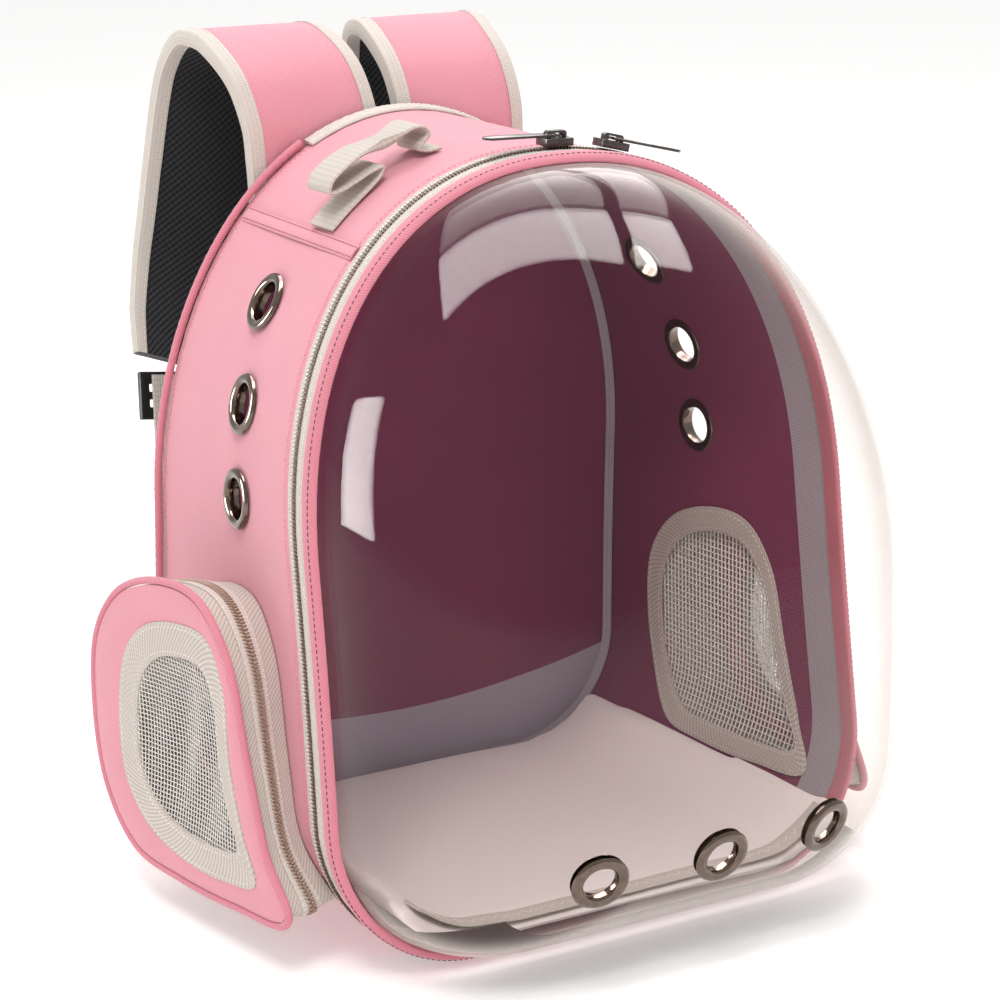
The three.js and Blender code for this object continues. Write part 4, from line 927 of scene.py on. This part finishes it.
def pocket(side, label):
    normals = loop_normals(POCKET_LOOP)
    foot_loop = shrunk(POCKET_LOOP, 0.94, POCKET_MID)
    foot = side_wall(side, foot_loop[:, 0], foot_loop[:, 1], 0.65)[0]
    edge = on_panel(side, POCKET_LOOP, -0.35)
    inward = np.column_stack([0 * normals[:, 0], -normals])
    rows = [foot + (edge - foot) * s - inward * (0.5 * math.sin(PI * s)) for s in np.linspace(0, 1, 12)]
    rows += [foot + (edge - foot) * s + inward * (1.6 - 0.5 * math.sin(PI * s)) for s in np.linspace(1, 0, 12)]
    gusset = cloth(rows, wrap_u=True, wrap_v=True)
    settle(gusset, f"pocket_gusset_{label}", GUSSET_TAPE, "pack", [f"pocket_band_{label}"], 50)

    def over(share, lift):
        return edge + (foot - edge) * share - inward * lift

    zip_rows = [over(0.3, 0.3), over(0.3, 1.15), over(0.36, 1.4), over(0.43, 1.3), over(0.5, 1.0), over(0.57, 1.3),
                over(0.64, 1.4), over(0.7, 1.15), over(0.7, 0.3)]
    band = cloth(zip_rows, wrap_u=True, wrap_v=True)
    settle(band, f"pocket_zip_tape_{label}", BEIGE_TAPE, "pack", [f"pocket_zipper_{label}"], 50)
    teeth = []
    for share, phase in ((0.462, 0), (0.538, 0.5)):
        line = over(share, 1.55)
        marks, run, _ = spaced(line, COIL_PITCH, True)
        marks = np.mod(marks + phase * COIL_PITCH, run[-1])
        at = carry(line, run, marks, True)
        across = carry(foot - edge, run, marks, True)
        up = carry(-inward, run, marks, True)
        teeth.append(scatter(at, across, up, (3.5, 1.35, 1.7), "tooth"))
    settle(teeth[0], f"pocket_coil_outer_{label}", COIL_BRONZE, "pack", angle=60)
    settle(teeth[1], f"pocket_coil_inner_{label}", COIL_BRONZE, "pack", angle=60)

    steps = np.linspace(0, 1, 10)
    mix = [WINDOW_LOOP + (POCKET_LOOP - WINDOW_LOOP) * s for s in steps]
    crown = [1.3 * math.sin(PI * s) ** 0.7 + 0.1 for s in steps]
    rows = [on_panel(side, m, 1.9 + c) for m, c in zip(mix, crown)]
    rows += [on_panel(side, m, 0.05) for m in mix[::-1]]
    panel = cloth(rows, wrap_u=True, wrap_v=True)
    straight_weave(panel)
    settle(panel, f"pocket_face_{label}", PINK_TWILL, "pack", [f"pocket_panel_{label}"], 50)

    centre = POCKET_LOOP + normals * 2.35
    angles = np.arange(12) / 12 * 2 * PI
    rows = [on_panel(side, centre + normals * (2 * math.cos(a)), 1 + 2 * math.sin(a)) for a in angles]
    cord = cloth(rows, wrap_u=True, wrap_v=True)
    settle(cord, f"pocket_piping_cord_{label}", PINK_PIPING, "pack", [f"pocket_piping_{label}"], 60)

    net_loop = shrunk(WINDOW_LOOP, 0.76, WINDOW_MID)
    outer_loop = shrunk(WINDOW_LOOP, 1.03, WINDOW_MID)
    mix = [net_loop + (outer_loop - net_loop) * s for s in np.linspace(0, 1, 8)]
    lift = [2.4, 2.75, 2.85, 2.8, 2.85, 2.95, 3.3, 3.2]
    rows = [on_panel(side, m, c) for m, c in zip(mix, lift)]
    rows += [on_panel(side, m, c - (0.9 if i > 5 else 1.9)) for i, (m, c) in reversed(list(enumerate(zip(mix, lift))))]
    binding = cloth(rows, wrap_u=True, wrap_v=True)
    settle(binding, f"window_tape_{label}", GUSSET_TAPE, "pack", [f"window_binding_{label}"], 50)

    threads = []
    out = np.array([side, 0.0, 0.0])
    for share, height in ((0.14, 2.85), (0.86, 3.3)):
        line = on_panel(side, net_loop + (outer_loop - net_loop) * share, height)
        threads.append(stitches(line, out, 3.4, 2.6, 0.65, True))
    settle(joined(threads), f"window_tape_stitches_{label}", THREAD_BEIGE, "pack")
    line = on_panel(side, POCKET_LOOP - normals * 2.2, 2.45)
    settle(stitches(line, out, 3.4, 2.6, 0.6, True), f"pocket_face_stitches_{label}", THREAD_PINK, "pack")
    rows = [stitches(over(s, h), -inward, 3.2, 2.4, 0.55, True) for s, h in ((0.33, 1.3), (0.67, 1.3), (0.06, 0.2))]
    settle(joined(rows), f"pocket_zip_stitches_{label}", THREAD_BEIGE, "pack")

    def slack(flat):
        reach = np.linalg.norm((flat - WINDOW_MID) / np.array([44, 50]), axis=1)
        sag = 4.5 * np.clip(1 - reach ** 2, 0, 1)
        folds = 0.9 * np.sin(flat[:, 0] * 0.19 + flat[:, 1] * 0.05) * np.clip(1 - reach, 0, 1)
        return on_panel(side, flat, 1.3 - sag + folds)

    web = net(shrunk(WINDOW_LOOP, 0.8, WINDOW_MID), 2.5, slack, 0.85)
    settle(web, f"window_mesh_{label}", NET_CORD, "pack", [f"window_net_{label}"], 50)

    window = shrunk(POCKET_LOOP, 0.79, POCKET_MID)
    web = net(window, 3.4, lambda flat: side_wall(side, flat[:, 0], flat[:, 1], -1.4)[0], 1.2)
    # The left wall net carries painted shade; the right one keeps the cord's own colour
    settle(web, f"wall_mesh_{label}", NET_CORD if side > 0 else NET_CORD_PAINTED_SHADE, "pack", [f"wall_net_{label}"], 50)

    wide, narrow = shrunk(POCKET_LOOP, 0.9, POCKET_MID), shrunk(POCKET_LOOP, 0.74, POCKET_MID)
    mix = [narrow + (wide - narrow) * s for s in np.linspace(0, 1, 6)]
    rows = [side_wall(side, m[:, 0], m[:, 1], -4.4)[0] for m in mix]
    rows += [side_wall(side, m[:, 0], m[:, 1], -5.5 + 0.1 * abs(i - 2.5))[0]
             for i, m in reversed(list(enumerate(mix)))]
    binding = cloth(rows, wrap_u=True, wrap_v=True)
    settle(binding, f"wall_window_tape_{label}", GUSSET_TAPE, "pack", [f"wall_net_binding_{label}"], 50)
    threads = []
    for share in (0.82, 0.15):
        line_2d = narrow + (wide - narrow) * share
        line, normal = side_wall(side, line_2d[:, 0], line_2d[:, 1], -5.55)
        threads.append(stitches(line, -normal, 3.6, 2.7, 0.6, True))
    settle(joined(threads), f"wall_window_stitches_{label}", THREAD_BEIGE, "pack")


pocket(-1, "left")
pocket(1, "right")


# Shoulder straps
# Each row: how far across, swayed and behind, how high, and how wide, as shares
STRAP = [(0, 0, 0, .5, .97), (0, .1, 0, .66, 1), (.01, .25, .02, .77, 1), (.03, .6, .14, .89, 1),
         (.06, .9, .34, .965, 1), (.1, 1, .56, 1, 1), (.15, 1, .78, .985, 1), (.21, 1, .93, .9, 1),
         (.27, 1, .99, .77, 1), (.39, 1, 1, .54, .98), (.6, .9, .93, .3, .92), (.83, .8, .78, .12, .82),
         (1, .7, .66, 0, .66)]
STRAP_TIP, STRAP_TOP = 258, 440


def strap_line(side):
    rest = 4 + CLEAR + 5
    points, widths = [], []
    for across, sway, behind, rise, wide in STRAP:
        z = STRAP_TIP + (STRAP_TOP - STRAP_TIP) * rise
        points.append((side * (46 + 55 * across) - 9 * sway, back_y(z) + rest + (86 - rest) * behind, z))
        widths.append(wide)
    path = spline(points, 12)
    wide = np.interp(np.linspace(0, 1, len(path)), np.linspace(0, 1, len(widths)), widths)
    return path, np.column_stack([wide, np.ones(len(path))])


def webbing_line(side, tip):
    foot_y = back_y(72) + 4 + CLEAR + 1.8
    foot = np.array([side * 133, foot_y, 72])
    top = tip + [side * 4, 0, -6.4]
    rows = [(0, 0), (.3, -3), (.6, -3), (.85, 0), (1, 2)]
    return spline([top + (foot - top) * run + [0, lag, 0] for run, lag in rows], 10)


def strap(side, label):
    path, scale = strap_line(side)
    side_x = (1, 0, 0)
    pad = sweep(path, side_x, slab_section(78, 7.6, 2.6, 4, 0.5), scale=scale)
    settle(pad, f"strap_pad_{label}", SPACER_MESH, "pack", [f"shoulder_strap_{label}"], 60)
    top = [(-37.5, -4.05), (-37, -4.7), (-25, -4.95), (-10, -5.2), (10, -5.2), (25, -4.95), (37, -4.7), (37.5, -4.05),
           (25, -4.1), (10, -4.2), (-10, -4.2), (-25, -4.1)]
    wave = np.sin(np.arange(len(path)) * 0.55)[:, None] * [0, 0.004] + 1
    cover = sweep(path, side_x, top, scale=scale * wave)
    settle(cover, f"strap_cover_{label}", PINK_TWILL, "pack", angle=60)
    tapes = []
    for turn in (1, -1):
        edge = [(31.5, -5.3), (36, -5.1), (39.3, -4.2), (40, -2.2), (40, 2.2), (39.3, 4.2), (36, 4.9), (31.5, 5.0),
                (31.5, 4.3), (36, 4.2), (38.4, 3.4), (39.0, 1.8), (39.0, -1.8), (38.6, -3.6), (36, -4.5), (31.5, -4.75)]
        section = [(a * turn, b) for a, b in edge]
        tapes.append(sweep(path, side_x, section[::turn], scale=scale))
    tape = joined(tapes)
    settle(tape, f"strap_edge_tape_{label}", BEIGE_TAPE, "pack", angle=50)
    along = tangents(path, False)
    sides = unit(np.array(side_x) - along * along[:, :1])
    face = np.cross(along, sides)
    rows = []
    for a in (33.2, -33.2):
        for b in (-5.45, 5.15):
            line = path + sides * a * scale[:, :1] + face * b
            rows.append(stitches(line, face * np.sign(b), 3.3, 2.5, 0.6))
    settle(joined(rows), f"strap_edge_stitches_{label}", THREAD_BEIGE, "pack")
    web_path = webbing_line(side, path[-1])
    web = sweep(web_path, side_x, slab_section(25, 1.7, 0.8, 3))
    settle(web, f"webbing_tail_{label}", BEIGE_WEBBING, "pack", [f"strap_webbing_{label}"], 50)
    buckle = softened(f"strap_adjuster_{label}", 0.7)
    settle(buckle, f"strap_buckle_{label}", BLACK_PLASTIC, "pack", [f"strap_adjuster_{label}"], 50)


strap(-1, "left")
strap(1, "right")

# Carry handle: each row is a share of the way out, its height in mm, and shares of its width and thickness
HANDLE = [(.93, 1, 1, 1), (.86, 1, 1, 1), (.78, 1.3, 1, 1), (.7, 2.2, 1, 1), (.645, 4, 1, 1), (.625, 6.5, 1, 1),
          (.67, 8.2, 1, 1), (.75, 9.5, 1, 1), (.82, 12, 1, 1), (.845, 15, 1, 1), (.82, 18, 1, 1), (.74, 19, 1, 1),
          (.66, 18, .92, 1.2), (.61, 16, .7, 2), (.565, 14.5, .5, 3), (.525, 14.5, .62, 2.4), (.48, 15.5, .88, 1.3),
          (.43, 16, 1, 1), (.39, 14, 1, 1), (.38, 10, 1, 1), (.42, 7, 1, 1), (.44, 4.5, 1, 1), (.41, 2.2, 1, 1),
          (.37, 1.2, 1, 1), (.34, 1, 1, 1)]
spots = np.array([top_wall(-106.0 * out, 2.0, 1.0 + lift)[0] for out, lift, _, _ in HANDLE])
path = spline(spots, 8)
marks = np.linspace(0, 1, len(path))
scale = np.column_stack([np.interp(marks, np.linspace(0, 1, len(HANDLE)), [row[k] for row in HANDLE]) for k in (2, 3)])
grip = sweep(path, (0, 1, 0), slab_section(25, 1.8, 0.8, 3), scale=scale)
settle(grip, "handle_webbing", BEIGE_WEBBING, "pack", ["carry_handle"], 50)

# Sliders and pulls
for label in ("left", "right"):
    slider, pull = softened(f"zip_slider_{label}", 0.7), softened(f"zip_pull_{label}", 0.35)
    settle(slider, f"slider_{label}", SLIDER_METAL, "pack", [f"zip_slider_{label}"], 45)
    settle(pull, f"pull_{label}", SLIDER_METAL, f"zip_pull_{label}", [f"zip_pull_{label}"], 45)


# Padded pieces
VOXEL, PRESSURE, SIM_STEPS = 5, 4.0, 20


def stuffed(obj, cap):
    """Fills a soft piece by cloth simulation; no point moves more than cap mm."""
    use(obj, "REMESH", mode="VOXEL", voxel_size=VOXEL * MM)
    scene = bpy.context.scene
    only(obj)
    filling = obj.modifiers.new("filling", "CLOTH")
    filling.settings.use_pressure = True
    filling.settings.uniform_pressure_force = PRESSURE
    filling.settings.effector_weights.gravity = 0
    filling.settings.quality = 4
    filling.point_cache.frame_start, filling.point_cache.frame_end = 1, SIM_STEPS
    for step in range(1, SIM_STEPS + 1):
        scene.frame_set(step)
    rest = points_of(obj.data)
    step = points_of(obj.evaluated_get(bpy.context.evaluated_depsgraph_get()).data) - rest
    length = np.linalg.norm(step, axis=1, keepdims=True)
    step *= np.minimum(1, cap * MM / np.maximum(length, 1e-9))
    obj.modifiers.remove(filling)
    scene.frame_set(1)
    move_points(obj.data, rest + step)
    return obj


mat = softened("floor_mat")
stuffed(mat, 2.0)
use(mat, "SMOOTH", factor=0.5, iterations=3)
use(mat, "SUBSURF", levels=1, render_levels=1)
settle(mat, "mat_pad", MAT_CLOTH, "pack", ["floor_mat"], 80)

# A tape binds the mat's front edge, sewn down with a zigzag
points = points_of(mat.data) / MM
edge = []
for x in np.linspace(-126, 126, 85):
    near = points[np.abs(points[:, 0] - x) < 4]
    front = near[:, 1].min()
    on_top = near[np.abs(near[:, 1] - front - 7) < 5]
    edge.append((x, front + 7.0, on_top[:, 2].max() + 0.25))
edge = np.array(edge)
for _ in range(4):
    edge[1:-1] = (edge[:-2] + 2 * edge[1:-1] + edge[2:]) / 4
hem = sweep(edge, (0, 1, 0), slab_section(12, 1.0, 0.5, 3))
settle(hem, "mat_edge_tape", BEIGE_TAPE, "pack", angle=50)
zigzag = stitches(edge + [0, 0.4, 0.62], (0, 0, 1), 3.2, 6.5, 0.9, slant=1.4)
settle(zigzag, "mat_edge_stitches", THREAD_BEIGE, "pack")

panel = softened("back_panel")
stuffed(panel, 1.5)
use(panel, "SUBSURF", levels=1, render_levels=1)
co = points_of(panel.data)
normal = np.array([v.normal.y for v in panel.data.vertices])
CHANNELS = {"upright": [-45, 45], "level": [120, 205, 290]}
groove = sum(np.exp(-((co[:, 0] / MM - x) / 3.2) ** 2) for x in CHANNELS["upright"])
groove = groove + sum(np.exp(-((co[:, 2] / MM - z) / 3.2) ** 2) for z in CHANNELS["level"])
co[:, 1] -= np.clip(normal, 0, 1) * np.clip(groove, 0, 1) * 1.5 * MM
move_points(panel.data, co)
settle(panel, "back_pad", BACK_MESH, "pack", ["back_panel"], 80)


def on_back(x, z):
    """A point just proud of the back panel."""
    hit, spot, _, _ = panel.ray_cast(Vector((x * MM, 0.3, z * MM)), Vector((0, -1, 0)))
    return np.array(spot) / MM + [0, 0.3, 0] if hit else None


rows = []
for line in [[(x, z) for z in np.linspace(45, 345, 120)] for x in CHANNELS["upright"]] + \
        [[(x, z) for x in np.linspace(-118, 118, 100)] for z in CHANNELS["level"]]:
    spots = [on_back(x, z) for x, z in line]
    rows.append(stitches(np.array([s for s in spots if s is not None]), (0, 1, 0), 4.0, 3.0, 0.8))
THREAD_GREY = grained("grey_sewing_thread", "#5A5A5E", "#3C3C40", 0.4, 0.6, 0.0, 0.03)
settle(joined(rows), "back_pad_stitches", THREAD_GREY, "pack")

# Plum cloth before the back panel, a little slack between its seams
loop = np.array([body(around(240), back(8.2), -2.9)[:, 0], body(around(240), back(8.2), -2.9)[:, 2]]).T
rows = []
for front_face in (True, False):
    for k in np.linspace(0, 1, 22) if front_face else np.linspace(1, 0, 22):
        x, z = loop[:, 0] * k, 180 + (loop[:, 1] - 180) * k
        slack = 1.2 * (1 - k ** 4) * (np.sin(x * 0.031 + z * 0.012) + 0.7 * np.sin(z * 0.027 - x * 0.018))
        inward, share = (8.5, 0.8) if front_face else (7.45, 0.5)
        y = back_y(z - SOLE) - inward - np.abs(slack) * share
        rows.append(np.column_stack([x, y, z]))
plum = cloth(rows, wrap_u=True)
facing_out(plum)
settle(plum, "back_lining_cloth", BACK_LINING, "pack", ["back_lining"], 60)

# Camera, light and floor
camera_data = bpy.data.cameras.new("camera")
camera_data.lens, camera_data.sensor_width = 100.77, 36
camera = placed("camera", camera_data)
CAMERA_PLACE = (-0.7366, -1.2545, 0.6030)
THETA, PHI, ROLL = 0.53251125, 0.26933619, -0.00811011
look = Vector((math.sin(THETA) * math.cos(PHI), math.cos(THETA) * math.cos(PHI), -math.sin(PHI)))
right = Vector((math.cos(THETA), -math.sin(THETA), 0))
upward = right.cross(look)
level_right = right * math.cos(ROLL) + upward * math.sin(ROLL)
level_up = upward * math.cos(ROLL) - right * math.sin(ROLL)
turn = Matrix((level_right, level_up, -look)).transposed().to_4x4()
camera.matrix_world = Matrix.Translation(CAMERA_PLACE) @ turn
bpy.context.scene.camera = camera

world = bpy.data.worlds.new("studio")
bpy.context.scene.world = world
world.use_nodes = True
world.node_tree.nodes["Background"].inputs[0].default_value = linear("#FFFFFF")
rays = node(world.node_tree, "LightPath")
seen = node(world.node_tree, "MapRange", {}, {"Value": rays.outputs["Is Camera Ray"], "To Min": 0.72, "To Max": 1.0})
world.node_tree.links.new(seen.outputs[0], world.node_tree.nodes["Background"].inputs[1])


def lamp(name, place, size, power):
    """A round lamp aimed at the middle of the bag."""
    data = bpy.data.lights.new(name, "AREA")
    data.shape, data.size, data.energy = "DISK", size, power
    obj = placed(name, data)
    obj.location = place
    obj.rotation_euler = (Vector((0, 0, 0.2)) - Vector(place)).to_track_quat("-Z", "Y").to_euler()
    obj.visible_glossy = False


lamp("key", (-0.9, -1.1, 2.3), 1.0, 30)
lamp("fill", (1.6, -1.2, 1.0), 1.6, 3)
lamp("top", (0.1, 0.7, 2.3), 1.2, 17)

# Bright panes for the clear sheet to mirror: a window overhead, and a tall strip to the left
CEILING = 2.4
PANES = {"window_pane_1": [(-.62, .02), (.56, -.24), (.60, .20), (-.36, .47)],
         "window_pane_2": [(.62, -.25), (.94, -.22), (.95, .20), (.66, .19)],
         "window_pane_3": [(-.33, .52), (.61, .25), (1.20, 2.0), (.55, 2.0)],
         "window_pane_4": [(.67, .24), (.96, .25), (1.8, 2.0), (1.27, 2.0)]}
GLOW = {}
for name, corners in PANES.items():
    raised = [(x * CEILING, y * CEILING - 0.1, CEILING + 0.36) for x, y in corners]
    GLOW[name] = (raised, 6.0 if name[-1] in "34" else 22.0)
STRIP = [(-1.276, 0.928, 0.719), (-1.449, 0.459, 1.02), (-1.584, 0.555, 0.119), (-1.248, 1.018, 0.02)]
GLOW["light_strip"] = (STRIP, 30.0)
for name, (corners, strength) in GLOW.items():
    pane = meshed(name, corners, [(0, 1, 2, 3)])
    material, tree = blank(name)
    close(tree, node(tree, "Emission", {}, {"Color": linear("#FDF8F8"), "Strength": strength}))
    pane.data.materials.append(material)
    pane.visible_camera = pane.visible_diffuse = pane.visible_transmission = pane.visible_shadow = False

bpy.ops.object.select_all(action="DESELECT")
bpy.ops.mesh.primitive_plane_add(size=14, location=(0, 0, -0.0005))
floor = bpy.context.object
floor.name = "floor"
floor.data.materials.append(grained("matt_white_floor", "#F7F6F5", "#F2F1F0", 40.0, 0.9, 0.0, 0.0, 0.0, 0.0, 0.1))
shader = next(n for n in floor.data.materials[0].node_tree.nodes if n.type == "BSDF_PRINCIPLED")
shader.inputs["Emission Color"].default_value = linear("#FFFFFF")
shader.inputs["Emission Strength"].default_value = 0.27

bpy.context.scene.view_settings.view_transform = "Standard"
